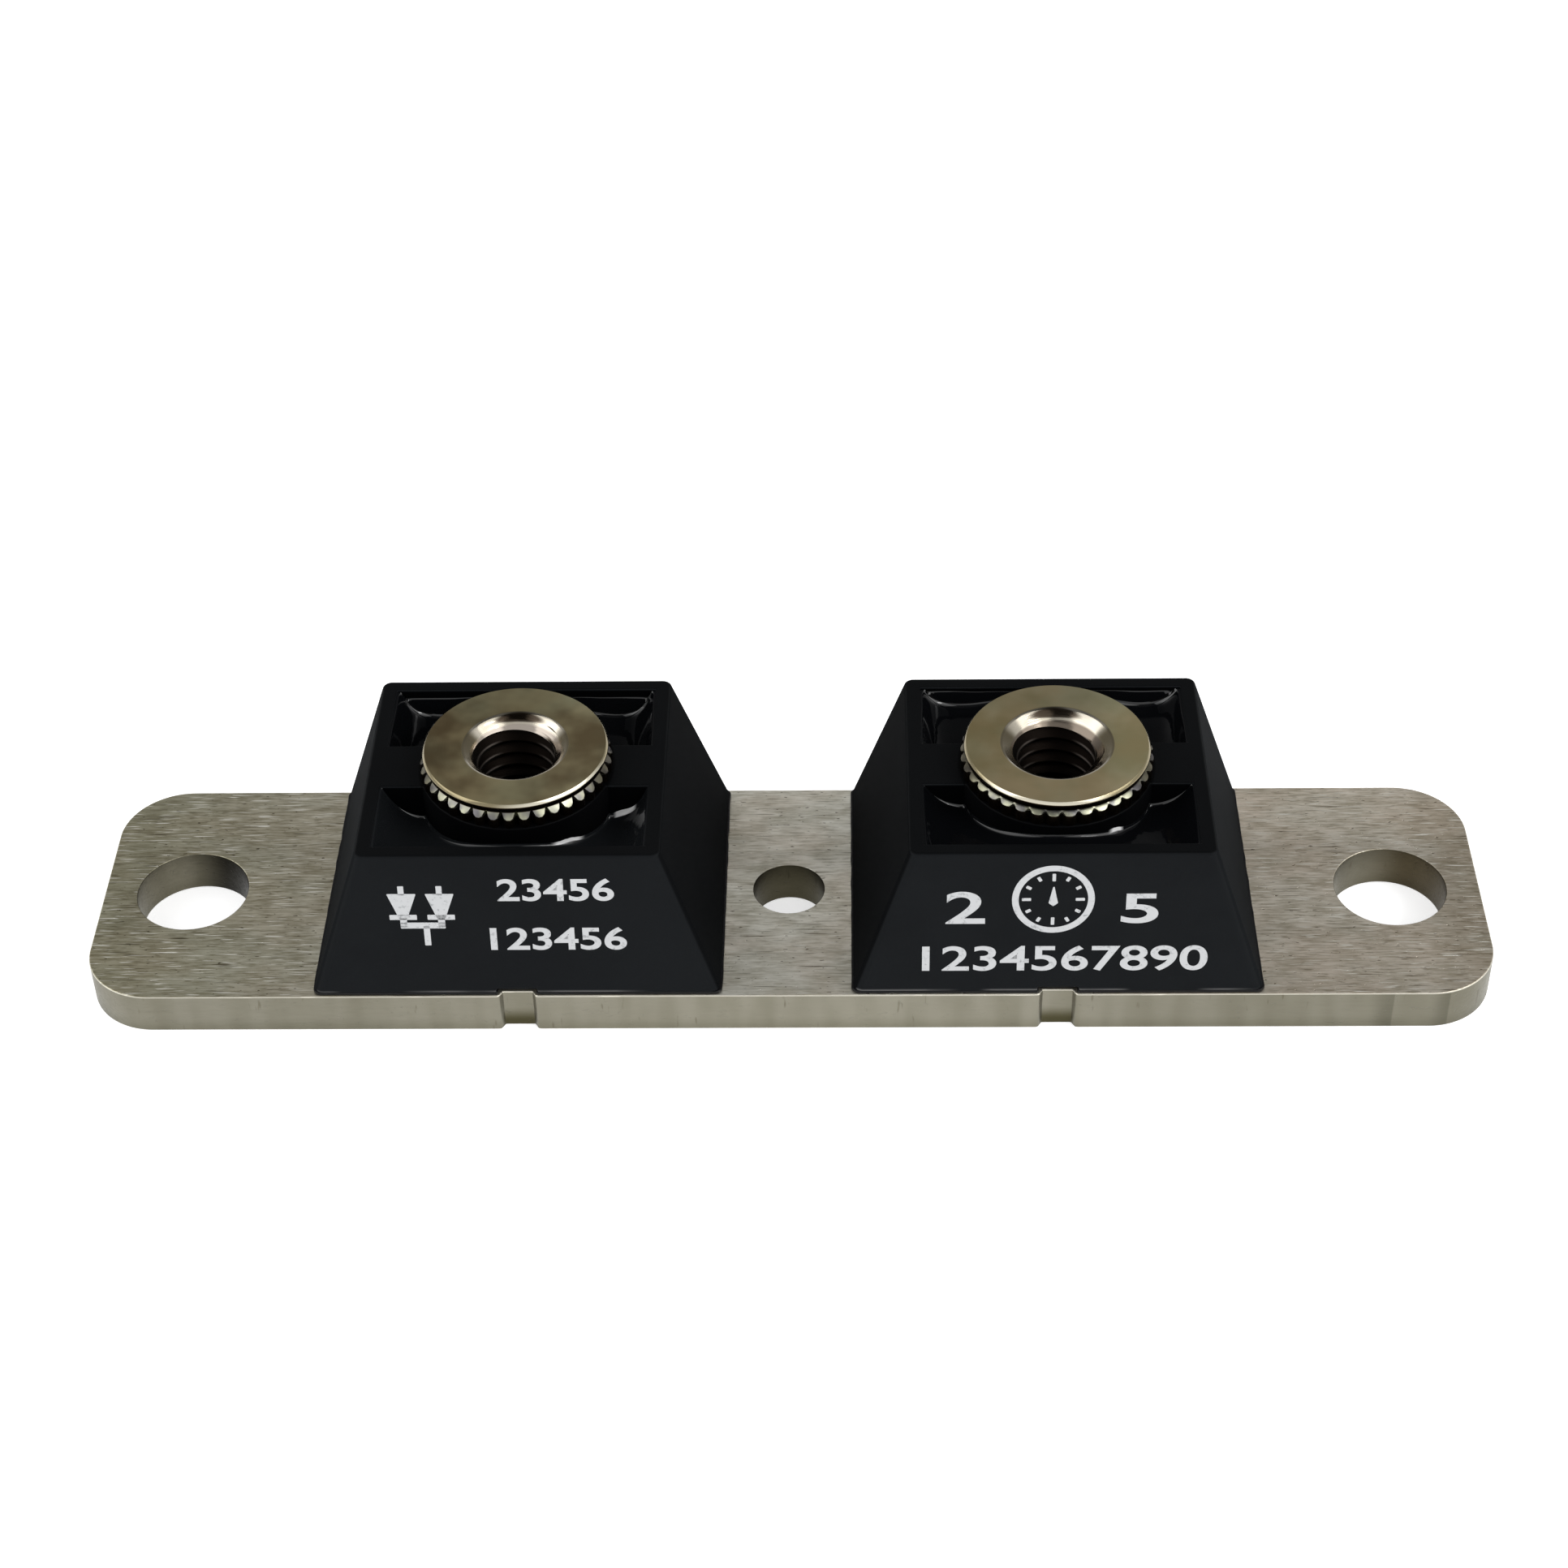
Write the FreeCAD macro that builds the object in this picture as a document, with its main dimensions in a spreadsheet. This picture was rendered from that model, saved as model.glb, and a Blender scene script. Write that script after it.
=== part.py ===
"""Twin-tower power Schottky rectifier module, in millimetres.

A plated copper bar carries two potted towers. Each tower is a moulded shell, open on top, whose
cross web holds a knurled terminal nut. Under the nut a bent copper strap goes down to two dies,
which are soldered to the bar. Soft gel covers the dies and hard epoxy fills the rest.

The frame: X along the bar, Y across it, Z up, origin at the middle of the bar's underside.
"""
import FreeCAD, Part
import os
import Sketcher
from FreeCAD import Placement, Rotation, Vector

# The driving sizes: the alias in the sheet, the value and what it measures
SIZES = [
    ("plate_length", 91.8, "bar, along X"),
    ("plate_width", 20.3, "bar, along Y"),
    ("plate_thickness", 3.0, "bar"),
    ("plate_corner_radius", 4.5, "bar, seen from above"),
    ("plate_edge_break", 0.2, "bar, tumbled edges"),
    ("mount_end_distance", 5.9, "axis of a large hole, from the end of the bar"),
    ("mount_hole_dia", 7.4, "large holes"),
    ("centre_hole_dia", 4.7, "hole in the middle of the bar"),
    ("notch_floor_width", 1.9, "notch in the long edge, at its floor"),
    ("notch_flare", 0.25, "notch, wider at its mouth, each side"),
    ("notch_depth", 0.45, "notch, into the bar"),
    ("tower_gap", 8.5, "between the two shells at their feet"),
    ("foot_length", 26.3, "shell at its foot, along X"),
    ("foot_side_gap", 0.1, "bar beyond the shell's foot, each side"),
    ("end_taper", 3.55, "shell's end walls lean in from foot to rim"),
    ("side_taper", 1.25, "shell's side walls lean in from foot to rim"),
    ("shell_height", 10.7, "shell, foot to rim"),
    ("foot_wall", 1.3, "shell wall at the foot"),
    ("rim_wall", 1.0, "shell wall at the rim"),
    ("shell_corner_radius", 0.6, "shell, its four slanted edges"),
    ("shell_rim_radius", 0.25, "shell, outer edge of the rim"),
    ("web_width", 4.1, "cross web, along Y"),
    ("web_clearance", 1.5, "web and boss above the strap"),
    ("boss_wall", 1.05, "boss around the nut"),
    ("relief_width", 2.6, "relief in the shell's foot over the notch"),
    ("relief_height", 0.5, "relief"),
    ("relief_depth", 0.5, "relief, into the wall"),
    ("seal_thickness", 0.2, "adhesive under the shell"),
    ("nut_stand", 1.7, "nut face above the rim"),
    ("nut_face_dia", 12.0, "face disc of the nut"),
    ("nut_face_thickness", 0.48, "face disc"),
    ("nut_face_chamfer", 0.12, "face disc, both edges"),
    ("nut_neck_step", 0.3, "neck under the face disc, in from it"),
    ("nut_neck_height", 0.17, "neck"),
    ("knurl_step", 0.2, "knurled ring beyond the face disc"),
    ("knurl_depth", 0.35, "grooves of the knurled ring"),
    ("knurl_chamfer", 0.5, "knurled ring, lower edge"),
    ("left_teeth", 40, "teeth on the left nut"),
    ("right_teeth", 50, "teeth on the right nut"),
    ("thread_bore_dia", 5.0, "M6 thread, at its crests"),
    ("left_mouth_width", 0.75, "countersink of the left thread, seen from above"),
    ("right_mouth_width", 1.1, "countersink of the right thread, seen from above"),
    ("countersink_depth", 0.7, "both mouths"),
    ("drill_point_angle", 118, "blind end of the bore, degrees"),
    ("nut_floor", 0.5, "nut under the point of the bore"),
    ("nut_body_dia", 10.4, "nut below the knurl, fits the boss"),
    ("spigot_dia", 4.0, "end of the nut, staked in the strap"),
    ("strap_thickness", 1.0, "copper strap"),
    ("strap_width", 6.5, "strap, along Y"),
    ("strap_bend_radius", 0.8, "strap, inside of its bends"),
    ("strap_window", 0.81, "riser, straight between its bends"),
    ("strap_bend_gap", 0.15, "bend beyond the metallised top of the die"),
    ("strap_foot_lap", 0.75, "free end beyond the metallised top of the die"),
    ("strap_top_lap", 2.2, "free end of the upper leg beyond the spigot"),
    ("die_side", 5.5, "die, square"),
    ("die_thickness", 0.35, "die"),
    ("die_border", 0.4, "die around its metallised top"),
    ("solder_thickness", 0.12, "each solder layer"),
    ("solder_margin", 0.25, "lower solder beyond the die, each side"),
    ("solder_gap", 0.6, "between the lower solder of two dies"),
    ("gel_cover", 1.41, "gel above the strap's lower leg"),
    ("left_potting_drop", 2.6, "epoxy below the left rim"),
    ("right_potting_drop", 1.8, "epoxy below the right rim"),
]

# Sizes that follow from those: the alias, its formula in the sheet and what it measures
FOLLOWING = [
    ("mount_spacing", "plate_length - 2 * mount_end_distance", "between the large holes"),
    ("notch_width", "notch_floor_width + 2 * notch_flare", "notch, at its mouth"),
    ("tower_spacing", "foot_length + tower_gap", "between the terminal axes"),
    ("foot_width", "plate_width - 2 * foot_side_gap", "shell at its foot, along Y"),
    ("rim_length", "foot_length - 2 * end_taper", "shell at its rim, along X"),
    ("rim_width", "foot_width - 2 * side_taper", "shell at its rim, along Y"),
    ("boss_dia", "nut_body_dia + 2 * boss_wall", "boss in the middle of the web"),
    ("nut_neck_dia", "nut_face_dia - 2 * nut_neck_step", "neck"),
    ("knurl_dia", "nut_face_dia + 2 * knurl_step", "knurled ring over the teeth"),
    ("knurl_root_dia", "knurl_dia - 2 * knurl_depth", "knurled ring in the grooves"),
    ("left_countersink_dia", "thread_bore_dia + 2 * left_mouth_width", "mouth of the left thread"),
    ("right_countersink_dia", "thread_bore_dia + 2 * right_mouth_width", "right thread"),
    ("die_contact_side", "die_side - 2 * die_border", "metallised top of the die"),
    ("die_pitch", "die_side + 2 * solder_margin + solder_gap", "between the two dies"),
    ("contact_reach", "(die_pitch + die_contact_side) / 2", "metallised tops, from the axis"),
    ("strap_foot_reach", "contact_reach + strap_foot_lap", "free end of the lower leg"),
    ("strap_top_reach", "spigot_dia / 2 + strap_top_lap", "free end of the upper leg"),
    ("strap_back", "contact_reach + strap_bend_gap + strap_bend_radius + strap_thickness",
     "outside of the riser, from the axis"),
    ("strap_rise", "2 * (strap_thickness + strap_bend_radius) + strap_window",
     "strap, outside to outside of its legs"),
]

# Heights above the underside of the bar, as expressions on the sheet
PLATE_TOP = "Sizes.plate_thickness"
SHELL_FOOT = f"({PLATE_TOP} + Sizes.seal_thickness)"
RIM = f"({SHELL_FOOT} + Sizes.shell_height)"
NUT_FACE = f"({RIM} + Sizes.nut_stand)"
NECK_TOP = f"({NUT_FACE} - Sizes.nut_face_thickness)"
KNURL_TOP = f"({NECK_TOP} - Sizes.nut_neck_height)"
DIE_BOTTOM = f"({PLATE_TOP} + Sizes.solder_thickness)"
DIE_TOP = f"({DIE_BOTTOM} + Sizes.die_thickness)"
STRAP_FOOT = f"({DIE_TOP} + Sizes.solder_thickness)"
STRAP_TOP = f"({STRAP_FOOT} + Sizes.strap_rise)"
WEB_BOTTOM = f"({STRAP_TOP} + Sizes.web_clearance)"
GEL_TOP = f"({STRAP_FOOT} + Sizes.strap_thickness + Sizes.gel_cover)"

# Which way is outwards from the middle of the bar
OUTWARDS = {"left": -1, "right": 1}
DIE_SITES = {"inner": -1, "outer": 1}


def make_sheet():
    """Write the sizes into a spreadsheet, one alias for each."""
    sheet = doc.addObject("Spreadsheet::Sheet", "Sizes")
    following = [(alias, f"={formula}", note) for alias, formula, note in FOLLOWING]
    for row, (alias, value, note) in enumerate(SIZES + following, start=1):
        sheet.set(f"A{row}", alias)
        sheet.set(f"B{row}", str(value))
        sheet.set(f"C{row}", note)
        sheet.setAlias(f"B{row}", alias)
    doc.recompute()
    return sheet


def number(expression):
    """The number that an expression on the sheet gives."""
    return float(sheet.evalExpression(expression))


def bind(item, **expressions):
    """Bind an object's properties to expressions; two underlines stand for a point."""
    for name, expression in expressions.items():
        item.setExpression(name.replace("__", "."), expression)


def wall_line(foot, rim, wall_at_foot, wall_at_rim, height):
    """Half a width of the shell at a height; its wall runs straight from foot to rim."""
    at_foot = f"(Sizes.{foot} / 2 - {wall_at_foot})"
    at_rim = f"(Sizes.{rim} / 2 - {wall_at_rim})"
    share = f"(({height} - {SHELL_FOOT}) / Sizes.shell_height)"
    return f"({at_foot} + ({at_rim} - {at_foot}) * {share})"


def inner_x(height):
    return wall_line("foot_length", "rim_length", "Sizes.foot_wall", "Sizes.rim_wall", height)


def inner_y(height):
    return wall_line("foot_width", "rim_width", "Sizes.foot_wall", "Sizes.rim_wall", height)


def outer_x(height):
    return wall_line("foot_length", "rim_length", "0", "0", height)


def outer_y(height):
    return wall_line("foot_width", "rim_width", "0", "0", height)


def new_body(label):
    body = doc.addObject("PartDesign::Body", label)
    body.Label = label
    return body


def origin_feature(body, role):
    """One of the body's own planes or axes, such as XY_Plane or Z_Axis."""
    return next(item for item in body.Origin.OriginFeatures if item.Role == role)


def new_sketch(body, name, plane, lift=None):
    """A sketch on one of the body's planes, lifted along its normal by an expression."""
    sketch = body.newObject("Sketcher::SketchObject", name)
    sketch.AttachmentSupport = [(origin_feature(body, plane), "")]
    sketch.MapMode = "FlatFace"
    if lift:
        sketch.setExpression("AttachmentOffset.Base.z", lift)
    return sketch


def place_point(sketch, geometry, point, name, across, along):
    """Hold a point of a sketch at two expressions, measured from the sketch's origin."""
    for kind, expression, own_axis in (("DistanceX", across, -2), ("DistanceY", along, -1)):
        value = number(expression)
        if expression == "0":
            sketch.addConstraint(Sketcher.Constraint("PointOnObject", geometry, point, own_axis))
        else:
            index = sketch.addConstraint(Sketcher.Constraint(kind, -1, 1, geometry, point, value))
            label = f"{name}_{kind[-1].lower()}"
            sketch.renameConstraint(index, label)
            sketch.setExpression(f"Constraints.{label}", expression)


def draw_outline(sketch, name, corners):
    """A closed outline of straight lines through corners given as pairs of expressions."""
    first = sketch.GeometryCount
    places = [Vector(number(across), number(along), 0) for across, along in corners]
    for index, place in enumerate(places):
        following = places[(index + 1) % len(places)]
        sketch.addGeometry(Part.LineSegment(place, following), False)
    for index in range(len(corners)):
        following = first + (index + 1) % len(corners)
        sketch.addConstraint(Sketcher.Constraint("Coincident", first + index, 2, following, 1))
    for index, (across, along) in enumerate(corners):
        place_point(sketch, first + index, 1, f"{name}{index}", across, along)


def draw_circle(sketch, name, across, along, diameter):
    """A circle whose centre and diameter are expressions."""
    centre = Vector(number(across), number(along), 0)
    circle = Part.Circle(centre, Vector(0, 0, 1), number(diameter) / 2)
    index = sketch.addGeometry(circle, False)
    place_point(sketch, index, 3, name, across, along)
    at = sketch.addConstraint(Sketcher.Constraint("Diameter", index, number(diameter)))
    sketch.renameConstraint(at, f"{name}_dia")
    sketch.setExpression(f"Constraints.{name}_dia", diameter)


def rectangle(half_x, half_y):
    """The corners of a rectangle about the origin."""
    return [(f"-{half_x}", f"-{half_y}"), (half_x, f"-{half_y}"),
            (half_x, half_y), (f"-{half_x}", half_y)]


def pad(body, name, sketch, length, both_ways=False):
    feature = body.newObject("PartDesign::Pad", name)
    feature.Profile = sketch
    feature.SideType = "Symmetric" if both_ways else "One side"
    bind(feature, Length=length)
    doc.recompute()
    return feature


def pocket(body, name, sketch, length, along_normal=False):
    """Cut a sketch against its normal, or along it, and see that it takes material away."""
    before = body.Shape.Volume
    feature = body.newObject("PartDesign::Pocket", name)
    feature.Profile = sketch
    feature.Reversed = along_normal
    bind(feature, Length=length)
    doc.recompute()
    if not body.Shape.Volume < before:
        raise RuntimeError(f"{body.Label}: {name} cuts nothing")
    return feature


def round_edges(body, name, radius, wanted, kind="PartDesign::Fillet", setting="Radius"):
    """Fillet or chamfer the edges of the body's last feature that the test picks."""
    base = body.Tip
    names = [f"Edge{index}" for index, edge in enumerate(base.Shape.Edges, start=1) if wanted(edge)]
    feature = body.newObject(kind, name)
    feature.Base = (base, names)
    bind(feature, **{setting: radius})
    doc.recompute()
    return feature


def near(value, target):
    return abs(value - target) < 1e-4


def level_edges(edge, height):
    """True for an edge that lies flat at a height."""
    box = edge.BoundBox
    return near(box.ZMin, height) and near(box.ZMax, height)


# The bar
def make_base_plate():
    body = new_body("base_plate")
    outline = new_sketch(body, "BarOutline", "XY_Plane")
    draw_outline(outline, "bar", rectangle("Sizes.plate_length / 2", "Sizes.plate_width / 2"))
    pad(body, "Bar", outline, "Sizes.plate_thickness")
    tall = number("Sizes.plate_thickness")
    round_edges(body, "BarCorners", "Sizes.plate_corner_radius",
                lambda edge: near(edge.BoundBox.ZLength, tall))

    notches = new_sketch(body, "NotchOutline", "XY_Plane")
    for side_x in ("-", ""):
        for side_y in ("-", ""):
            middle = f"{side_x}Sizes.tower_spacing / 2"
            edge = f"{side_y}Sizes.plate_width / 2"
            floor = f"{side_y}(Sizes.plate_width / 2 - Sizes.notch_depth)"
            name = f"notch{'l' if side_x else 'r'}{'f' if side_y else 'b'}"
            draw_outline(notches, name, [
                (f"{middle} - Sizes.notch_width / 2", edge),
                (f"{middle} + Sizes.notch_width / 2", edge),
                (f"{middle} + Sizes.notch_floor_width / 2", floor),
                (f"{middle} - Sizes.notch_floor_width / 2", floor)])
    pocket(body, "Notches", notches, "Sizes.plate_thickness", along_normal=True)

    holes = new_sketch(body, "HoleOutline", "XY_Plane")
    draw_circle(holes, "left_hole", "-Sizes.mount_spacing / 2", "0", "Sizes.mount_hole_dia")
    draw_circle(holes, "middle_hole", "0", "0", "Sizes.centre_hole_dia")
    draw_circle(holes, "right_hole", "Sizes.mount_spacing / 2", "0", "Sizes.mount_hole_dia")
    pocket(body, "Holes", holes, "Sizes.plate_thickness", along_normal=True)
    round_edges(body, "EdgeBreak", "Sizes.plate_edge_break",
                lambda edge: level_edges(edge, tall) or level_edges(edge, 0),
                kind="PartDesign::Chamfer", setting="Size")
    return body


# The moulded shell with its web, boss and nut seat
def frustum(item, foot_height, rim_height, half_x, half_y):
    """Set a wedge upright between two heights, with half widths given as functions of height."""
    item.Placement = Placement(Vector(0, 0, 0), Rotation(Vector(1, 0, 0), 90))
    bind(item, Ymin="0", Ymax=f"{rim_height} - {foot_height}",
         Xmin=f"-{half_x(foot_height)}", Xmax=half_x(foot_height),
         Zmin=f"-{half_y(foot_height)}", Zmax=half_y(foot_height),
         X2min=f"-{half_x(rim_height)}", X2max=half_x(rim_height),
         Z2min=f"-{half_y(rim_height)}", Z2max=half_y(rim_height),
         Placement__Base__z=foot_height)


def make_housing(label, axis):
    body = new_body(label)
    shell = body.newObject("PartDesign::AdditiveWedge", "Block")
    frustum(shell, SHELL_FOOT, RIM, outer_x, outer_y)
    doc.recompute()
    foot, rim = number(SHELL_FOOT), number(RIM)
    round_edges(body, "SlantedEdges", "Sizes.shell_corner_radius",
                lambda edge: edge.BoundBox.ZLength > (rim - foot) / 2)
    round_edges(body, "RimEdge", "Sizes.shell_rim_radius", lambda edge: level_edges(edge, rim))

    cavity = body.newObject("PartDesign::SubtractiveWedge", "Cavity")
    frustum(cavity, SHELL_FOOT, RIM, inner_x, inner_y)
    doc.recompute()

    web = new_sketch(body, "WebOutline", "XZ_Plane")
    top_half = f"({inner_x(RIM)} + Sizes.rim_wall / 2)"
    low_half = f"({inner_x(WEB_BOTTOM)} + Sizes.rim_wall / 2)"
    draw_outline(web, "web", [(f"-{top_half}", RIM), (f"-{low_half}", WEB_BOTTOM),
                              (low_half, WEB_BOTTOM), (top_half, RIM)])
    pad(body, "Web", web, "Sizes.web_width", both_ways=True)

    boss = new_sketch(body, "BossOutline", "XY_Plane", WEB_BOTTOM)
    draw_circle(boss, "boss", "0", "0", "Sizes.boss_dia")
    pad(body, "Boss", boss, f"{RIM} - {WEB_BOTTOM}")
    seat = new_sketch(body, "SeatOutline", "XY_Plane", RIM)
    draw_circle(seat, "seat", "0", "0", "Sizes.nut_body_dia")
    pocket(body, "NutSeat", seat, f"{RIM} - {WEB_BOTTOM}")

    relief = new_sketch(body, "ReliefOutline", "XY_Plane", SHELL_FOOT)
    for side in ("-", ""):
        face = f"{side}Sizes.foot_width / 2"
        floor = f"{side}(Sizes.foot_width / 2 - Sizes.relief_depth)"
        half = "Sizes.relief_width / 2"
        name = "front" if side else "rear"
        draw_outline(relief, name, [(f"-{half}", face), (half, face),
                                    (half, floor), (f"-{half}", floor)])
    pocket(body, "FootReliefs", relief, "Sizes.relief_height", along_normal=True)
    bind(body, Placement__Base__x=axis)
    return body


# The terminal nut: turned, then knurled
def make_nut(label, axis, side):
    body = new_body(label)
    bore = "Sizes.thread_bore_dia / 2"
    point = f"({STRAP_TOP} + Sizes.nut_floor)"
    bore_end = f"({point} + {bore} / tan(Sizes.drill_point_angle / 2))"
    face = "Sizes.nut_face_dia / 2"
    chamfer = "Sizes.nut_face_chamfer"
    strap_under = f"({STRAP_TOP} - Sizes.strap_thickness)"
    turned = new_sketch(body, "TurnedProfile", "XZ_Plane")
    draw_outline(turned, "nut", [
        ("0", strap_under),
        ("Sizes.spigot_dia / 2", strap_under),
        ("Sizes.spigot_dia / 2", STRAP_TOP),
        ("Sizes.nut_body_dia / 2", STRAP_TOP),
        ("Sizes.nut_body_dia / 2", RIM),
        ("Sizes.knurl_dia / 2 - Sizes.knurl_chamfer", RIM),
        ("Sizes.knurl_dia / 2", f"{RIM} + Sizes.knurl_chamfer"),
        ("Sizes.knurl_dia / 2", KNURL_TOP),
        ("Sizes.nut_neck_dia / 2", KNURL_TOP),
        ("Sizes.nut_neck_dia / 2", NECK_TOP),
        (f"{face} - {chamfer}", NECK_TOP),
        (face, f"{NECK_TOP} + {chamfer}"),
        (face, f"{NUT_FACE} - {chamfer}"),
        (f"{face} - {chamfer}", NUT_FACE),
        (f"Sizes.{side}_countersink_dia / 2", NUT_FACE),
        (bore, f"{NUT_FACE} - Sizes.countersink_depth"),
        (bore, bore_end),
        ("0", point)])
    turning = body.newObject("PartDesign::Revolution", "Turned")
    turning.Profile = turned
    turning.ReferenceAxis = (turned, ["V_Axis"])
    turning.Angle = 360
    doc.recompute()

    # One groove of the knurl, cut down from the neck, then repeated round the ring
    above_knurl = f"({KNURL_TOP} + Sizes.nut_neck_height / 2)"
    groove = new_sketch(body, "GrooveOutline", "XY_Plane", above_knurl)
    root = "Sizes.knurl_root_dia / 2"
    reach = f"(Sizes.knurl_dia - {root})"
    spread = f"({reach} - {root}) / (Sizes.knurl_dia / 2 - {root})"
    half_mouth = f"(pi * Sizes.knurl_dia / 2 / Sizes.{side}_teeth * {spread})"
    draw_outline(groove, "groove", [(root, "0"), (reach, f"-{half_mouth}"), (reach, half_mouth)])
    cut = pocket(body, "KnurlGroove", groove, f"{above_knurl} - {RIM}")
    knurl = body.newObject("PartDesign::PolarPattern", "Knurl")
    knurl.Originals = [cut]
    knurl.Axis = (origin_feature(body, "Z_Axis"), [""])
    knurl.Angle = 360
    bind(knurl, Occurrences=f"Sizes.{side}_teeth")
    body.Tip = knurl
    doc.recompute()
    bind(body, Placement__Base__x=axis)
    return body


# The copper strap: two legs and a riser, bent from one strip, with the riser outwards
def make_strap(label, axis, side):
    body = new_body(label)
    thick = "Sizes.strap_thickness"
    under = f"({STRAP_TOP} - {thick})"
    foot_top = f"({STRAP_FOOT} + {thick})"
    back = "-Sizes.strap_back"
    inside = f"({back} + {thick})"
    strip = new_sketch(body, "StripProfile", "XZ_Plane")
    draw_outline(strip, "strip", [
        (back, STRAP_FOOT), ("Sizes.strap_foot_reach", STRAP_FOOT),
        ("Sizes.strap_foot_reach", foot_top), (inside, foot_top),
        (inside, under), ("Sizes.strap_top_reach", under),
        ("Sizes.strap_top_reach", STRAP_TOP), (back, STRAP_TOP)])
    pad(body, "Strip", strip, "Sizes.strap_width", both_ways=True)
    hole = new_sketch(body, "SpigotHole", "XY_Plane", STRAP_TOP)
    draw_circle(hole, "spigot", "0", "0", "Sizes.spigot_dia")
    pocket(body, "StakedHole", hole, thick)

    def bend_at(column):
        place = number(column)
        return lambda edge: (near(edge.BoundBox.XMin, place) and near(edge.BoundBox.XMax, place)
                             and edge.BoundBox.YLength > number("Sizes.strap_width") / 2)
    round_edges(body, "BendsInside", "Sizes.strap_bend_radius", bend_at(inside))
    round_edges(body, "BendsOutside", f"Sizes.strap_bend_radius + {thick}", bend_at(back))
    if OUTWARDS[side] > 0:
        body.Placement.Rotation = Rotation(Vector(0, 0, 1), 180)
    bind(body, Placement__Base__x=axis)
    return body


# The dies and their solder
def make_block(name, centre_x, bottom, side, height):
    """A square block, centred on the bar's long axis."""
    block = doc.addObject("Part::Box", name)
    bind(block, Length=side, Width=side, Height=height,
         Placement__Base__x=f"{centre_x} - {side} / 2", Placement__Base__y=f"-{side} / 2",
         Placement__Base__z=bottom)
    return block


def join(label, parts):
    """Several shapes in one object."""
    group = doc.addObject("Part::Compound", label)
    group.Label = label
    group.Links = parts
    return group


def make_dies(side, axis):
    """The dies of one tower with the solder below and above them."""
    dies, lower, upper = [], [], []
    for site, way in DIE_SITES.items():
        centre = f"({axis} + {way * OUTWARDS[side]} * Sizes.die_pitch / 2)"
        die = make_block(f"{side}_die_{site}", centre, DIE_BOTTOM, "Sizes.die_side",
                         "Sizes.die_thickness")
        dies.append(die)
        lower.append(make_block(f"{side}_base_solder_{site}", centre, PLATE_TOP,
                                "(Sizes.die_side + 2 * Sizes.solder_margin)",
                                "Sizes.solder_thickness"))
        upper.append(make_block(f"{side}_top_solder_{site}", centre, DIE_TOP,
                                "Sizes.die_contact_side", "Sizes.solder_thickness"))
    return dies, join(f"{side}_base_solder", lower), join(f"{side}_top_solder", upper)


# The adhesive line under the shell
def make_seal(label, axis):
    """A ring with the outline of the shell's foot."""
    body = new_body(label)
    ring = new_sketch(body, "SealOutline", "XY_Plane", PLATE_TOP)
    draw_outline(ring, "outside", rectangle("Sizes.foot_length / 2", "Sizes.foot_width / 2"))
    pad(body, "Layer", ring, "Sizes.seal_thickness")
    tall = number("Sizes.seal_thickness")
    round_edges(body, "LayerCorners", "Sizes.shell_corner_radius",
                lambda edge: near(edge.BoundBox.ZLength, tall))
    window = new_sketch(body, "SealWindow", "XY_Plane", PLATE_TOP)
    draw_outline(window, "inside", rectangle(inner_x(SHELL_FOOT), inner_y(SHELL_FOOT)))
    pocket(body, "Window", window, "Sizes.seal_thickness", along_normal=True)
    bind(body, Placement__Base__x=axis)
    return body


# The gel and the epoxy take the shape of what they were poured around
def pour(label, filling, around):
    """A filling less the pieces that stand in it."""
    tools = doc.addObject("Part::Compound", f"{label}_moulds")
    tools.Links = around
    cast = doc.addObject("Part::Cut", label)
    cast.Label = label
    cast.Base = filling
    cast.Tool = tools
    return cast


def make_gel(label, axis, around):
    low = doc.addObject("Part::Box", f"{label}_low")
    half_x, half_y = inner_x(SHELL_FOOT), inner_y(SHELL_FOOT)
    bind(low, Length=f"2 * {half_x}", Width=f"2 * {half_y}", Height="Sizes.seal_thickness",
         Placement__Base__x=f"{axis} - {half_x}", Placement__Base__y=f"-{half_y}",
         Placement__Base__z=PLATE_TOP)
    high = doc.addObject("Part::Wedge", f"{label}_high")
    frustum(high, SHELL_FOOT, GEL_TOP, inner_x, inner_y)
    bind(high, Placement__Base__x=axis)
    filling = doc.addObject("Part::Fuse", f"{label}_filling")
    filling.Base = low
    filling.Tool = high
    return pour(label, filling, around)


def make_potting(label, axis, drop, around):
    """The epoxy; a plug keeps it out of the nut, which fills the boss."""
    filling = doc.addObject("Part::Wedge", f"{label}_filling")
    frustum(filling, GEL_TOP, f"({RIM} - {drop})", inner_x, inner_y)
    bind(filling, Placement__Base__x=axis)
    plug = doc.addObject("Part::Cylinder", f"{label}_plug")
    bind(plug, Radius="Sizes.nut_body_dia / 2", Height=f"{RIM} - {STRAP_TOP}",
         Placement__Base__x=axis, Placement__Base__z=STRAP_TOP)
    return pour(label, filling, [plug, *around])


def make_tower(side, axis):
    """All pieces of one tower, on the vertical line at x = axis."""
    housing = make_housing(f"{side}_housing", axis)
    nut = make_nut(f"{side}_terminal_nut", axis, side)
    strap = make_strap(f"{side}_lead_strap", axis, side)
    dies, lower, upper = make_dies(side, axis)
    seal = make_seal(f"{side}_foot_seal", axis)
    gel = make_gel(f"{side}_junction_gel", axis, [strap, *dies, lower, upper])
    potting = make_potting(f"{side}_potting", axis, f"Sizes.{side}_potting_drop",
                           [housing, nut, strap])
    return [housing, nut, strap, *dies, lower, upper, seal, gel, potting]


def check(pieces):
    """Stop if an object failed or a piece has no sound solid."""
    for item in doc.Objects:
        if "Invalid" in item.State or "Error" in item.State:
            raise RuntimeError(f"{item.Label}: {item.State}")
    for piece in pieces:
        shape = piece.Shape
        if shape.isNull() or not shape.isValid() or not shape.Solids:
            raise RuntimeError(f"{piece.Label}: no sound solid")


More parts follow.
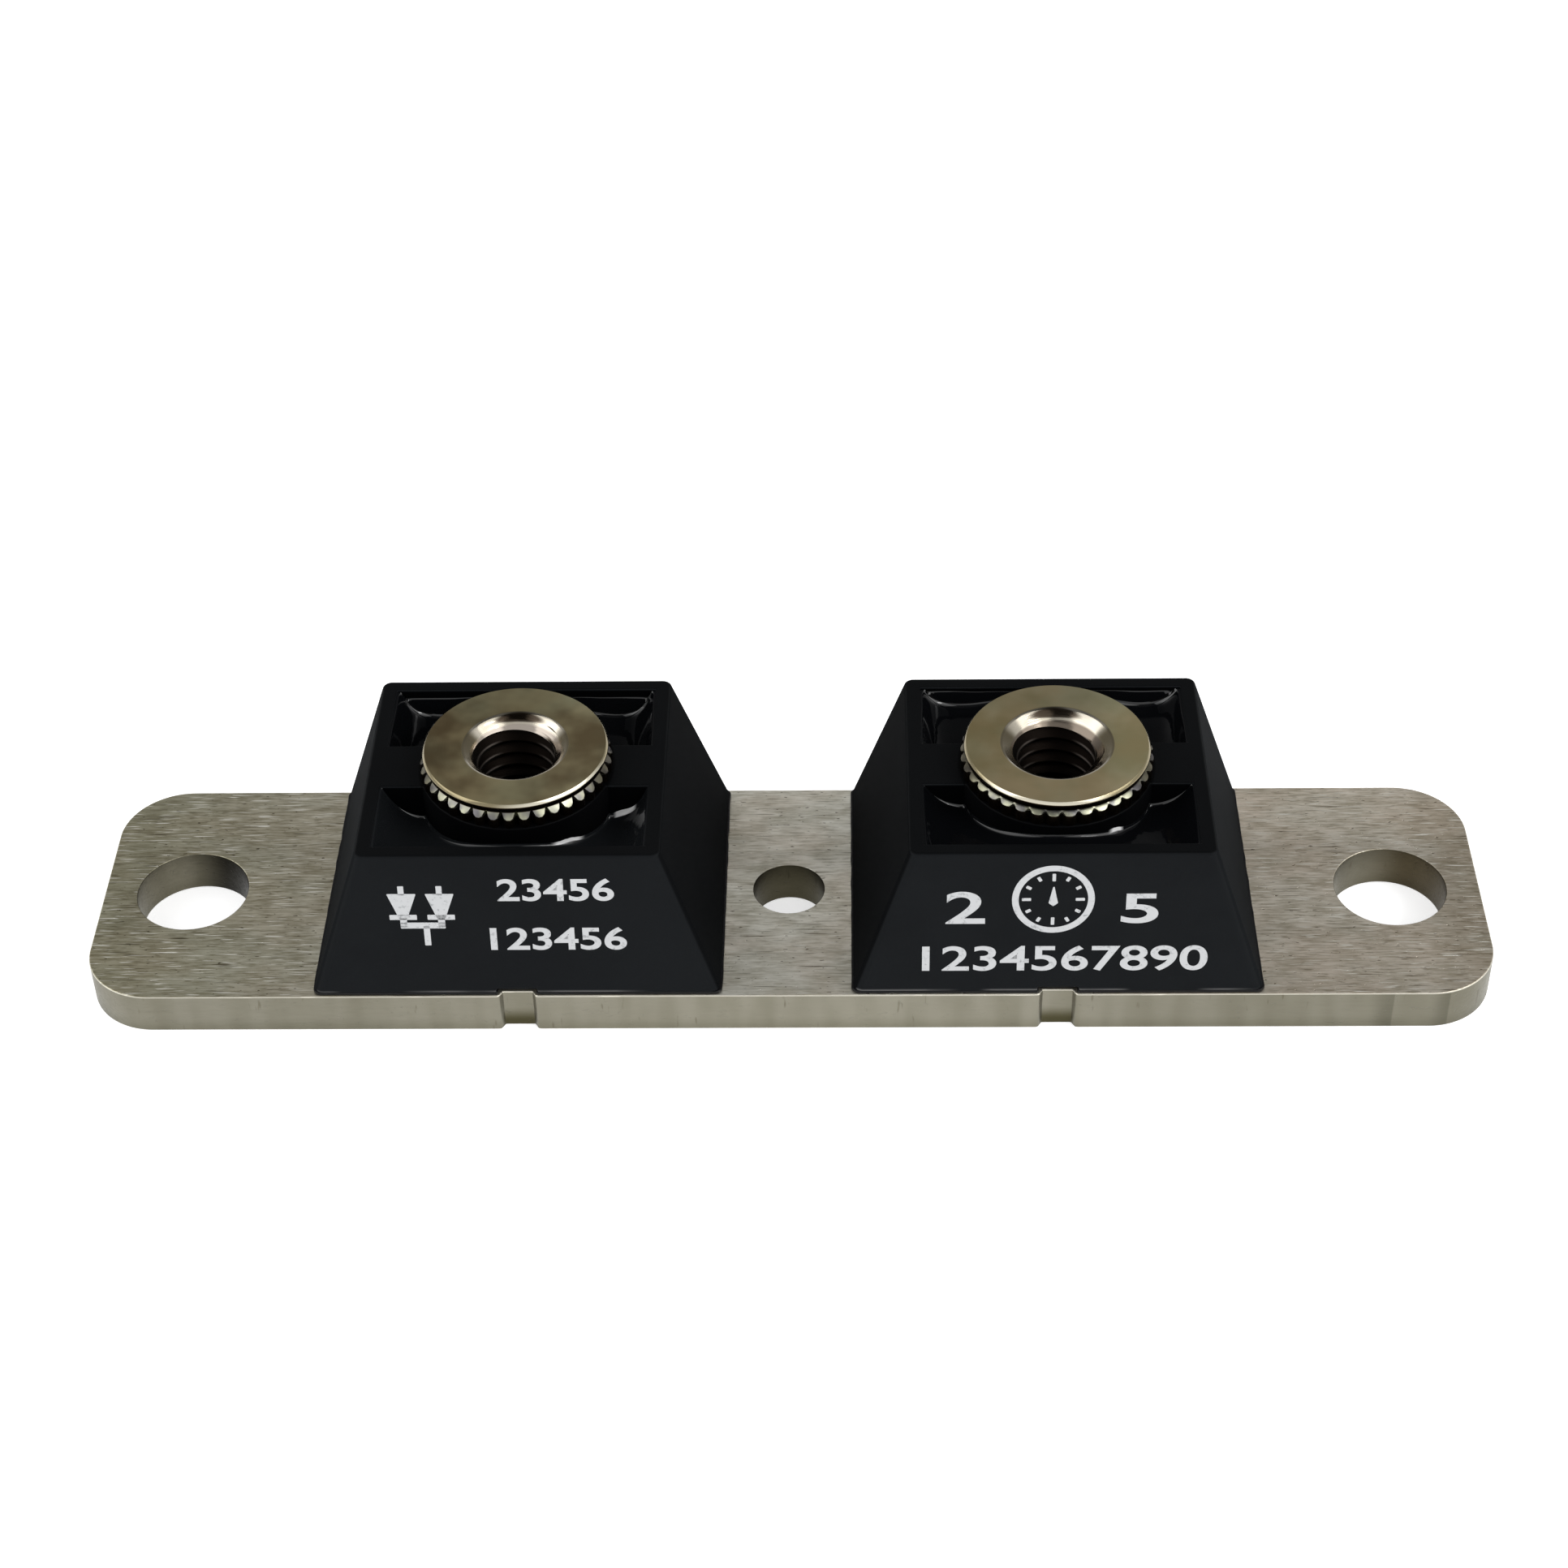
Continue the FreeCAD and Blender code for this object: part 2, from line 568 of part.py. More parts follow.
def write(pieces):
    os.makedirs("parts", exist_ok=True)
    for piece in pieces:
        piece.Shape.exportStep(f"parts/{piece.Label}.step")
        print(f"{piece.Label}: {len(piece.Shape.Solids)} solid, {piece.Shape.Volume:.2f} mm3")


doc = FreeCAD.newDocument("SchottkyModule")
sheet = make_sheet()
pieces = [make_base_plate()]
pieces += make_tower("left", "(-Sizes.tower_spacing / 2)")
pieces += make_tower("right", "(Sizes.tower_spacing / 2)")
doc.recompute()
check(pieces)
write(pieces)
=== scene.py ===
"""Twin-tower Schottky rectifier module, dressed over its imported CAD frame.

The frame is the CAD's: X along the bar, Y to the rear, Z up, in metres. Sizes are written in
millimetres and scaled once, when a piece's mesh is finished.
"""

from math import cos, exp, hypot, pi, radians, sin, tan

import bmesh
import bpy
from mathutils import Matrix, Vector, noise


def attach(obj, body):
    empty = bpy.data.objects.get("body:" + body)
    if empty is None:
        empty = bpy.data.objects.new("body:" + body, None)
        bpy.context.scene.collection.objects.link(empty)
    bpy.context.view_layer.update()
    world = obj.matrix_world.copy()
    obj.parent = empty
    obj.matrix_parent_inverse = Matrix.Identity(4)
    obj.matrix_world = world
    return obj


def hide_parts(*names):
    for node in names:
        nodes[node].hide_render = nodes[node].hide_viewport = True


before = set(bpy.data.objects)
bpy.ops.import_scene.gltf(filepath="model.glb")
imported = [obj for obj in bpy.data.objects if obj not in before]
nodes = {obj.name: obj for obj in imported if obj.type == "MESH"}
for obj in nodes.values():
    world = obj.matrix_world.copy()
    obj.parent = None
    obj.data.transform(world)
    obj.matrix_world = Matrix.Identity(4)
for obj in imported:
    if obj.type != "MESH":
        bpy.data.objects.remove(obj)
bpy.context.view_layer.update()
MM = 0.001

# The camera stands where the photograph was taken: in front of the module, looking down on it
# at about 40 degrees, a little turned and tilted. Its lens was fitted to the module's corners.
PITCH, YAW, ROLL = radians(40.514), radians(-1.649), radians(-1.347)
AIM = Vector((-0.579, 14.281, 0)) * MM
DISTANCE = 217.33 * MM
SENSOR, CLIP_START = 36.0, 0.01
FOCAL_PIXELS, FRAME_PIXELS = 3770.756, 1932
ahead = Vector((sin(YAW) * cos(PITCH), cos(YAW) * cos(PITCH), -sin(PITCH)))
sideways = Vector((cos(YAW), -sin(YAW), 0))
rise = sideways.cross(ahead)
across = cos(ROLL) * sideways + sin(ROLL) * rise
upward = cos(ROLL) * rise - sin(ROLL) * sideways
camera = bpy.data.objects.new("camera", bpy.data.cameras.new("camera"))
camera.data.sensor_width = SENSOR
camera.data.lens = SENSOR * FOCAL_PIXELS / FRAME_PIXELS
camera.data.clip_start = CLIP_START
camera.matrix_world = Matrix.Translation(AIM - DISTANCE * ahead) @ Matrix(
    (across, upward, -ahead)).transposed().to_4x4()
bpy.context.scene.collection.objects.link(camera)
bpy.context.scene.camera = camera
bpy.context.scene.view_settings.view_transform = "Standard"


# The base bar is punched from copper strip, tumbled so that its edges are soft, brushed along
# its length and nickel plated. It has three holes and a shallow notch under each shell.
class Signal:
    """One output of a shader node. Arithmetic adds Math nodes, and node() adds any other."""

    def __init__(self, socket):
        self.socket = socket

    def node(self, kind, sockets, output=0, stops=(), **settings):
        tree = self.socket.id_data
        made = tree.nodes.new("ShaderNode" + kind)
        for name, value in settings.items():
            setattr(made, name, value)
        for index, (place, colour) in enumerate(stops):
            elements = made.color_ramp.elements
            stop = elements[index] if index < 2 else elements.new(place)
            stop.position, stop.color = place, (*colour, 1)
        for name, value in sockets.items():
            if isinstance(value, Signal):
                tree.links.new(value.socket, made.inputs[name])
            else:
                made.inputs[name].default_value = value
        return Signal(made.outputs[output])

    def math(self, operation, first, second=0.0):
        return self.node("Math", {0: first, 1: second}, operation=operation)

    def __add__(self, other):
        return self.math("ADD", self, other)

    def __sub__(self, other):
        return self.math("SUBTRACT", self, other)

    def __rsub__(self, other):
        return self.math("SUBTRACT", other, self)

    def __mul__(self, other):
        return self.math("MULTIPLY", self, other)

    def __truediv__(self, other):
        return self.math("DIVIDE", self, other)

    def __pow__(self, other):
        return self.math("POWER", self, other)

    __radd__, __rmul__ = __add__, __mul__

    def between(self, low, high, to_low=0.0, to_high=1.0):
        """This value eased from one range to another, and held at its ends."""
        return self.node("MapRange", {0: self, 1: low, 2: high, 3: to_low, 4: to_high},
                         interpolation_type="SMOOTHSTEP")

    def band(self, start, full, fall, end):
        """1 between two values, eased to 0 outside them."""
        return self.between(start, full) * self.between(fall, end, 1, 0)

    def within(self, inner, outer):
        """1 this near to nought on either side, eased to 0 further out."""
        return (self * self).between(inner ** 2, outer ** 2, 1, 0)

    def parts(self):
        """The X, Y and Z of a vector."""
        return [Signal(socket) for socket in
                self.node("SeparateXYZ", {0: self}).socket.node.outputs]

    def blend(self, first, second):
        """A colour between two, this value saying how far."""
        first, second = [c if isinstance(c, Signal) else (*c, 1) for c in (first, second)]
        return self.node("Mix", {0: self, 6: first, 7: second}, output=2, data_type="RGBA")

    def tinted(self, tint):
        """This colour times another."""
        return self.node("Mix", {0: 1.0, 6: self, 7: (*tint, 1)}, output=2, data_type="RGBA",
                         blend_type="MULTIPLY")

    def grain(self, size, detail=2.0, roughness=0.5, offset=(0, 0, 0)):
        """Noise on this place whose lumps have a size, in mm, along X, Y and Z."""
        scale = [1 / part for part in size]
        place = self.node("Mapping", {"Vector": self, "Location": offset, "Scale": scale})
        return place.node("TexNoise", {"Vector": place, "Scale": 1.0, "Detail": detail,
                                       "Roughness": roughness})


def new_finish(name, **constants):
    """A material, and the place on its piece in millimetres."""
    material = bpy.data.materials.new(name)
    material.use_nodes = True
    tree = material.node_tree
    for socket, value in constants.items():
        tree.nodes["Principled BSDF"].inputs[socket.replace("_", " ")].default_value = value
    place = Signal(tree.nodes.new("ShaderNodeTexCoord").outputs["Object"])
    return material, place.node("Mapping", {"Vector": place, "Scale": (1000, 1000, 1000)})


def feed(material, bump=None, bump_depth=0.01, **signals):
    """Join signals to the material's shader; bump is a height over the surface, in mm."""
    tree = material.node_tree
    shader = tree.nodes["Principled BSDF"]
    if bump:
        signals["Normal"] = bump.node("Bump", {"Height": bump, "Strength": 1.0,
                                               "Distance": bump_depth * MM})
    for name, signal in signals.items():
        tree.links.new(signal.socket, shader.inputs[name.replace("_", " ")])


def rounded_loop(curve, corners, step=0.12):
    """Add a closed loop of straight runs and arcs; a corner is (x, y, radius)."""
    points = []
    for index, (x, y, radius) in enumerate(corners):
        here = Vector((x, y))
        back = (Vector(corners[index - 1][:2]) - here).normalized()
        on = (Vector(corners[(index + 1) % len(corners)][:2]) - here).normalized()
        turn = pi - back.angle(on)
        if radius == 0:
            points.append(here)
            continue
        centre = here + (back + on).normalized() * radius / cos(turn / 2)
        start = here + back * radius * tan(turn / 2) - centre
        sense = 1 if back.x * on.y - back.y * on.x < 0 else -1
        count = max(3, int(radius * turn / step))
        points += [centre + Matrix.Rotation(sense * turn * part / count, 2) @ start
                   for part in range(count + 1)]
    spline = curve.splines.new("POLY")
    spline.points.add(len(points) - 1)
    for point, place in zip(spline.points, points):
        point.co = (place.x, place.y, 0, 1)
    spline.use_cyclic_u = True


def circle(x, y, radius):
    """The corners of a rounded loop that is a whole circle."""
    return [(x - radius, y - radius, radius), (x + radius, y - radius, radius),
            (x + radius, y + radius, radius), (x - radius, y + radius, radius)]


def flat_piece(name, loops, bottom, top, rounding):
    """A flat mesh with rounded edges between two heights, from one loop and its holes."""
    curve = bpy.data.curves.new(name, "CURVE")
    curve.dimensions, curve.fill_mode = "2D", "BOTH"
    curve.extrude = (top - bottom) / 2 - rounding
    curve.bevel_depth, curve.bevel_resolution, curve.offset = rounding, 3, -rounding
    for loop in loops:
        rounded_loop(curve, loop)
    holder = bpy.data.objects.new(name, curve)
    mesh = bpy.data.meshes.new_from_object(holder)
    bpy.data.objects.remove(holder)
    mesh.transform(Matrix.Translation((0, 0, (top + bottom) / 2)))
    built = bmesh.new()
    built.from_mesh(mesh)
    bmesh.ops.remove_doubles(built, verts=built.verts, dist=1e-5)
    bmesh.ops.recalc_face_normals(built, faces=built.faces)
    bpy.data.meshes.remove(mesh)
    return built


def finish_piece(built, name, material, replaced=(), sharp=35, even=True):
    """Turn a bmesh in millimetres into a shown piece of the module."""
    bmesh.ops.scale(built, vec=(MM, MM, MM), verts=built.verts)
    for face in built.faces:
        face.smooth = even or abs(face.normal.z) < 0.9999
    mesh = bpy.data.meshes.new(name)
    built.to_mesh(mesh)
    built.free()
    mesh.set_sharp_from_angle(angle=radians(sharp))
    mesh.materials.append(material)
    piece = bpy.data.objects.new(name, mesh)
    bpy.context.scene.collection.objects.link(piece)
    if even:
        weighted = piece.modifiers.new("even_normals", "WEIGHTED_NORMAL")
        weighted.keep_sharp = True
    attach(piece, "root")
    if replaced:
        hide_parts(*replaced)
    return piece


BAR = (91.8, 20.3, 3.0)
BAR_CORNER, BAR_EDGE = 4.5, 0.1
MOUNT_X, MOUNT_R, CENTRE_R = 40.0, 3.7, 2.35
NOTCH_MOUTH, NOTCH_FLOOR, NOTCH_DEPTH = 2.4, 1.9, 0.45
MOUTH_ROUNDING, FLOOR_ROUNDING = 0.24, 0.12
TOWER_X = 17.4

half_x, half_y = BAR[0] / 2, BAR[1] / 2
outline = []
for way in (-1, 1):
    outline.append((way * half_x, way * half_y, BAR_CORNER))
    for axis in (way * TOWER_X, -way * TOWER_X):
        for offset, depth, radius in ((way * NOTCH_MOUTH / 2, 0, MOUTH_ROUNDING),
                                      (way * NOTCH_FLOOR / 2, NOTCH_DEPTH, FLOOR_ROUNDING),
                                      (-way * NOTCH_FLOOR / 2, NOTCH_DEPTH, FLOOR_ROUNDING),
                                      (-way * NOTCH_MOUTH / 2, 0, MOUTH_ROUNDING)):
            outline.append((axis + offset, way * (half_y - depth), radius))
    outline.append((-way * half_x, way * half_y, BAR_CORNER))
holes = [circle(-MOUNT_X, 0, MOUNT_R), circle(0, 0, CENTRE_R), circle(MOUNT_X, 0, MOUNT_R)]
bar = flat_piece("bar", [outline, *holes], 0, BAR[2], BAR_EDGE)

# Colours of the brushed top and its marks, among them sparks of painted highlight, then of
# the punched edges, darker partly as painted shade, with a painted edge highlight, and the
# painted light and shade of the hole walls
BRUSHED = ((0.5, 0.474, 0.375), (1.0, 0.98, 0.88))
DASH, PIT, GOUGE = (0.34, 0.31, 0.23), (0.16, 0.14, 0.1), (0.4, 0.38, 0.35)
SCRATCH, SPARK_GLINT = (0.95, 0.93, 0.84), (0.8, 0.76, 0.64)
PUNCHED_AND_SHADED = ((0.168, 0.159, 0.121), (0.203, 0.193, 0.153))
STAIN, EDGE_HIGHLIGHT = (0.09, 0.08, 0.05), (0.8, 0.77, 0.67)
PAINTED_HOLE_WALLS = {"left": (0.07, 0.065, 0.05), "middle": (0.38, 0.36, 0.29),
              "right": (0.4, 0.34, 0.26), "lit": (0.84, 0.82, 0.77)}

# Stretches along X over which the top turns darker, each with its tint
DARKER_ALONG_X = ((2, -60, (0.38, 0.37, 0.27)), (8, 28, (0.8, 0.76, 0.73)),
          (41, 45.5, (0.76, 0.74, 0.7)))

# Stretches along X where bands of painted shade fall on the edges near the right corners
SHADE_BANDS = ((37.2, 38.9), (41.0, 42.5))


def beside_tower(x):
    """How far a place lies outwards from the axis of its tower, along X."""
    return (x * x) ** 0.5 - TOWER_X


nickel, place = new_finish("brushed_nickel", Metallic=1.0)
x, y, z = place.parts()
streaks = place.grain((1.5, 0.18, 0.2), 3, 0.6)
hairs = place.grain((4, 0.09, 0.09), 2, 0.5, offset=(7, 3, 1))
patches = place.grain((2.4, 1.3, 4), 3, 0.6, offset=(2, 9, 4))
hue = place.grain((6, 4, 5), 2, 0.5, offset=(13, 2, 6))
scratch = place.grain((2.2, 0.1, 0.1), 1, 0.5, offset=(31, 17, 5)).between(0.63, 0.7)
dashes = place.grain((1.1, 0.16, 0.2), 1, 0.5, offset=(3, 37, 5)).between(0.6, 0.68)
gouges = place.grain((3.2, 0.13, 0.2), 0, 0.5, offset=(19, 4, 11)).between(0.72, 0.78)
spark_glints = place.grain((0.6, 0.13, 0.2), 1, 0.5, offset=(23, 9, 2)).between(0.66, 0.73)
pits = place.grain((0.5, 0.16, 0.3), 1, 0.5, offset=(11, 5, 8)).between(0.69, 0.74)
aside, _, up = place.node("NewGeometry", {}, output=1).parts()
level = up.between(0.6, 0.95)
ends = (x * x).between(24.5 ** 2, 36 ** 2, 0.6, 1)
brushing = ends * x.between(-30, 30, 1.15, 0.78)
tone = (streaks + hairs * 0.15 - 0.575) * brushing + patches * 0.55 + 0.225
metal = tone.between(0.22, 0.78).blend(*BRUSHED)
metal = (dashes * level * ends * 0.6).blend(metal, DASH)
metal = (pits * level).blend(metal, PIT)
metal = (gouges * level).blend(metal, metal.tinted(GOUGE))
metal = hue.between(0.35, 0.65).blend(metal, metal.tinted((1.0, 0.96, 0.94)))
for begin, end, tint in DARKER_ALONG_X:
    metal = x.between(begin, end).blend(metal, metal.tinted(tint))
metal = (x.between(8, 28) * y.between(1, 9)).blend(metal, metal.tinted((1.15, 1.15, 1.15)))
metal = (scratch * level * ends).blend(metal, SCRATCH)
# Short sparks of painted highlight on the top, towards the right end
metal = (spark_glints * level * x.between(20, 40) * 0.6).blend(metal, SPARK_GLINT)

waves = place.grain((1.6, 6, 9), 1, 0.5, offset=(5, 8, 2))
# The punched edges: a duller finish than the brushed top, made darker still as painted shade
punched_and_shaded = waves.between(0.25, 0.75).blend(*PUNCHED_AND_SHADED)
punched_and_shaded = x.within(4.5, 30).blend(punched_and_shaded, punched_and_shaded.tinted((1.17, 1.17, 1.18)))
# Painted shade: the edges darker towards their foot
punched_and_shaded = z.between(0.1, 1.2, 1, 0).blend(punched_and_shaded, punched_and_shaded.tinted((0.82, 0.82, 0.78)))
stains = place.grain((0.5, 4, 2.5), 2, 0.6, offset=(9, 1, 4)).between(0.66, 0.76)
punched_and_shaded = (stains * 0.5).blend(punched_and_shaded, STAIN)
bored = x.within(44.4, 44.5) * y.within(8.4, 8.5)
# Painted shade in bands on the edges near the right corners
for begin, end in SHADE_BANDS:
    shade_band = x.band(begin, end, end, end + 0.12) * (1 - bored)
    punched_and_shaded = shade_band.blend(punched_and_shaded, punched_and_shaded.tinted((0.72, 0.72, 0.7)))
# A painted highlight along the rounded top edges, varied by the scratch noise
wear_and_edge_highlight = up.band(0.1, 0.3, 0.8, 0.97) * scratch.between(0, 1, 0.55, 1)
# Painted shade on the hole walls, dark in the mount holes and less so in the middle one, with
# painted light where a mount hole's wall faces +X
painted_hole_walls = x.between(-30, 30).blend(punched_and_shaded.tinted(PAINTED_HOLE_WALLS["left"]),
                                punched_and_shaded.tinted(PAINTED_HOLE_WALLS["right"]))
painted_hole_walls = aside.between(-0.5, 0.5).blend(painted_hole_walls, punched_and_shaded.tinted(PAINTED_HOLE_WALLS["lit"]))
painted_hole_walls = x.within(7, 20).blend(painted_hole_walls, punched_and_shaded.tinted(PAINTED_HOLE_WALLS["middle"]))
notch = beside_tower(x).within(1.0, 1.14) * y.within(10.02, 10.1)
shadow = z.between(0.4, 1.7).blend(punched_and_shaded.tinted((0.36, 0.34, 0.22)), punched_and_shaded)
punched_and_shaded = notch.blend(punched_and_shaded, shadow)
punched_and_shaded = bored.blend(wear_and_edge_highlight.blend(punched_and_shaded, EDGE_HIGHLIGHT), painted_hole_walls)
feed(nickel, bump=streaks * 0.6 + hairs * 0.2 - pits * 0.8, bump_depth=0.02,
     Base_Color=level.blend(punched_and_shaded, metal), Roughness=tone.between(0.2, 0.8, 0.5, 0.36))
finish_piece(bar, "bar", nickel, ["base_plate"], even=False)

# The two shells are moulded in black filled plastic: slanted walls, open on top, with a cross
# web and a round boss that hold the nut. Every edge has the small radius of the mould.
SIDES = {"left": -1, "right": 1}
SHELL_EDGE = 0.12
FOOT_Z, RIM = 3.2, 13.9
RELIEF_TOP, RELIEF_FILL = 3.7, 3.45
BOSS_R = 6.25
SHELL_BLACK = ((0.0072, 0.0081, 0.0092), (0.0085, 0.0096, 0.0108))
POCKET_SHADE, FOOT_HIGHLIGHT = (0.0012, 0.0013, 0.0016), (0.1, 0.1, 0.1)

# Half the pocket along X and Y, carried down to Z = 0, and how much it closes in for each mm
POCKET_HALF, POCKET_LEAN = (12.9, 9.12), (0.304, 0.089)

plastic, place = new_finish("moulded_plastic", Specular_IOR_Level=0.03)
x, y, z = place.parts()
bloom = place.grain((6, 6, 5), 3, 0.6)
speck = place.grain((0.08, 0.08, 0.08), 2, 0.6)
aside, _, up = place.node("NewGeometry", {}, output=1).parts()
flank = (aside * aside).between(0.3, 0.6)
shade = bloom.between(0.3, 0.7).blend(*SHELL_BLACK)
# Painted shade: faces that look up are darker, and the flanks that face the other shell darker
# again
shade = up.between(0.6, 0.95).blend(shade, shade.tinted((0.38, 0.38, 0.38)))
shaded_flanks = flank * x.within(14, 19)
shade = shaded_flanks.blend(shade, shade.tinted((0.45, 0.45, 0.45)))
from_axis = beside_tower(x)
wide, deep = [half - z * lean for half, lean in zip(POCKET_HALF, POCKET_LEAN)]
# Painted shade inside each pocket below the rim, and on the boss round the nut
pocket_shade = (wide * wide - from_axis * from_axis).between(0, 0.5)
pocket_shade = pocket_shade * (deep * deep - y * y).between(0, 0.5) * z.between(RIM - 0.2, RIM - 0.05, 1, 0)
boss_shade = (from_axis * from_axis + y * y).between((BOSS_R + 0.05) ** 2, (BOSS_R + 0.15) ** 2, 1, 0)
shade = (pocket_shade + boss_shade - pocket_shade * boss_shade).blend(shade, POCKET_SHADE)
# A painted highlight along the foot of each shell, broken up by noise
foot_highlight = z.between(FOOT_Z + 0.1, FOOT_Z + 0.24, 1, 0)
foot_highlight = foot_highlight * place.grain((5, 30, 30), 1).between(0.42, 0.58)
feed(plastic, bump=speck, bump_depth=0.006,
     Base_Color=(foot_highlight * (1 - flank)).blend(shade, FOOT_HIGHLIGHT),
     Roughness=(bloom * 0.15 + 0.36) * (1 - flank) + flank * 0.95)


def softened(node, offset):
    """A CAD node's mesh in millimetres, merged, with its sharp edges rounded off."""
    built = bmesh.new()
    built.from_mesh(nodes[node].data)
    bmesh.ops.scale(built, vec=(1 / MM,) * 3, verts=built.verts)
    bmesh.ops.remove_doubles(built, verts=built.verts, dist=1e-3)
    bmesh.ops.dissolve_limit(built, angle_limit=radians(0.5), verts=built.verts,
                             edges=built.edges)
    for vert in built.verts:
        if abs(vert.co.z - RELIEF_TOP) < 0.01 and abs(vert.co.y) > 9:
            vert.co.z = RELIEF_FILL
    hard = [edge for edge in built.edges if edge.calc_face_angle(0) > radians(32)]
    bmesh.ops.bevel(built, geom=hard, affect="EDGES", offset=offset, offset_type="OFFSET",
                    segments=3, profile=0.5, material=-1, clamp_overlap=True)
    return built


for side in SIDES:
    finish_piece(softened(f"{side}_housing", SHELL_EDGE), f"{side}_shell", plastic,
                 [f"{side}_housing"])

# Each terminal nut is turned from brass bar: a face disc over a thin neck, a knurled ring that
# keeps it from turning in the boss, a countersunk M6 thread, and nickel plate over it all.
FACE = 15.6
THREAD_R, CREST_R, THREAD_PITCH = 3.0, 2.5, 1.0
THREAD_TURNS, THREAD_STEPS = 8, 120
BORE_END, BORE_POINT = 10.0, 8.5
CUT_SLOPE, CUT_DEPTH, CUT_KNEE = 1.35, 0.98, 2.92
DISC_R, DISC_BOTTOM, DISC_LIP = 6.0, 15.32, 0.04
CHAMFER_R, CHAMFER = 5.98, 0.14
NECK_R, SHOULDER_R = 5.6, 5.85
KNURL_TOP, KNURL_R = 14.95, 6.2
BODY_R, BODY_END, SPIGOT_R, SPIGOT_END = 5.2, 8.0, 2.0, 7.0

# The nuts differ in the number of teeth, the radius of the countersink, the radii at the foot
# of the teeth and in the grooves between them, and how far the tops of the teeth slope down
NUTS = {"left": {"teeth": 38, "mouth": 3.4, "root": 5.85, "groove": 5.68, "drop": 0.38},
        "right": {"teeth": 36, "mouth": 3.6, "root": 5.98, "groove": 5.93, "drop": 0.26}}

# Colours of the plating, from dull to bright: the stained face with its painted sheen, the
# countersink with its painted reflection, the painted gleam on the rim of the disc, the tops of
# the teeth and the bore in painted shade
FACE_STAINS_AND_SHEEN = {"left": ((0.125, 0.098, 0.05), (0.345, 0.31, 0.18)),
               "right": ((0.29, 0.25, 0.13), (0.41, 0.355, 0.215))}
MOUTH_SHINE = ((0.38, 0.345, 0.275), (0.58, 0.535, 0.45))
MOUTH_SIDE_REFLECTION, MOUTH_REAR_REFLECTION = (0.17, 0.145, 0.095), ((0.035, 0.026, 0.018), (0.1, 0.08, 0.06))
MOUTH_DEEP_REFLECTION = {"left": (0.34, 0.3, 0.26), "right": (0.15, 0.125, 0.1)}
RIM_SHINE = ((0.24, 0.205, 0.125), (0.68, 0.64, 0.52))
NECK_SHADE = (0.03, 0.021, 0.014)
TOOTH_TOPS = ((0.13, 0.125, 0.13), (0.36, 0.36, 0.265))
BORE_SHADE, CREST_SHINE = (0.004, 0.003, 0.0024), (0.05, 0.043, 0.038)

# Where the rim of each disc gleams, in degrees from the front towards the right
GLINTS = {"left": 35, "right": -12}

# A tooth in columns, each a distance from its middle in pitches and its share of the height
TOOTH = ((0.42, 0.0), (0.28, 0.72), (0.1, 1.0))
TOOTH_STEPS = 2 * len(TOOTH) + 1


def is_vert(item):
    return isinstance(item, bmesh.types.BMVert)


def open_ring(built, height):
    """The open edges that lie level at a height."""
    return [edge for edge in built.edges if edge.is_boundary
            and all(abs(vert.co.z - height) < 1e-3 for vert in edge.verts)]


def raise_ring(built, ring, radius, height):
    """Carry an open ring on to a circle of another radius and height."""
    made = bmesh.ops.extrude_edge_only(built, edges=ring)["geom"]
    for vert in filter(is_vert, made):
        vert.co.xy *= radius / vert.co.xy.length
        vert.co.z = height
    return [edge for edge in made if isinstance(edge, bmesh.types.BMEdge) and edge.is_boundary]


def corner(r, z, radius, start, end, count=4):
    """Points of a rounded corner about a centre, between two directions in degrees."""
    turns = [radians(start + (end - start) * part / count) for part in range(count + 1)]
    return [(r + radius * cos(turn), z + radius * sin(turn)) for turn in turns]


def spin_profile(built, profile, steps, rise=0.0, merge=False):
    """Turn a line of (radius, height) points once round the axis, and up by a rise."""
    chain = [built.verts.new((radius, 0, height)) for radius, height in profile]
    edges = [built.edges.new(pair) for pair in zip(chain, chain[1:])]
    bmesh.ops.spin(built, geom=chain + edges, cent=(0, 0, 0), axis=(0, 0, 1), angle=2 * pi,
                   dvec=(0, 0, rise / steps), steps=steps, use_merge=merge)
    bmesh.ops.remove_doubles(built, verts=built.verts, dist=1e-4)


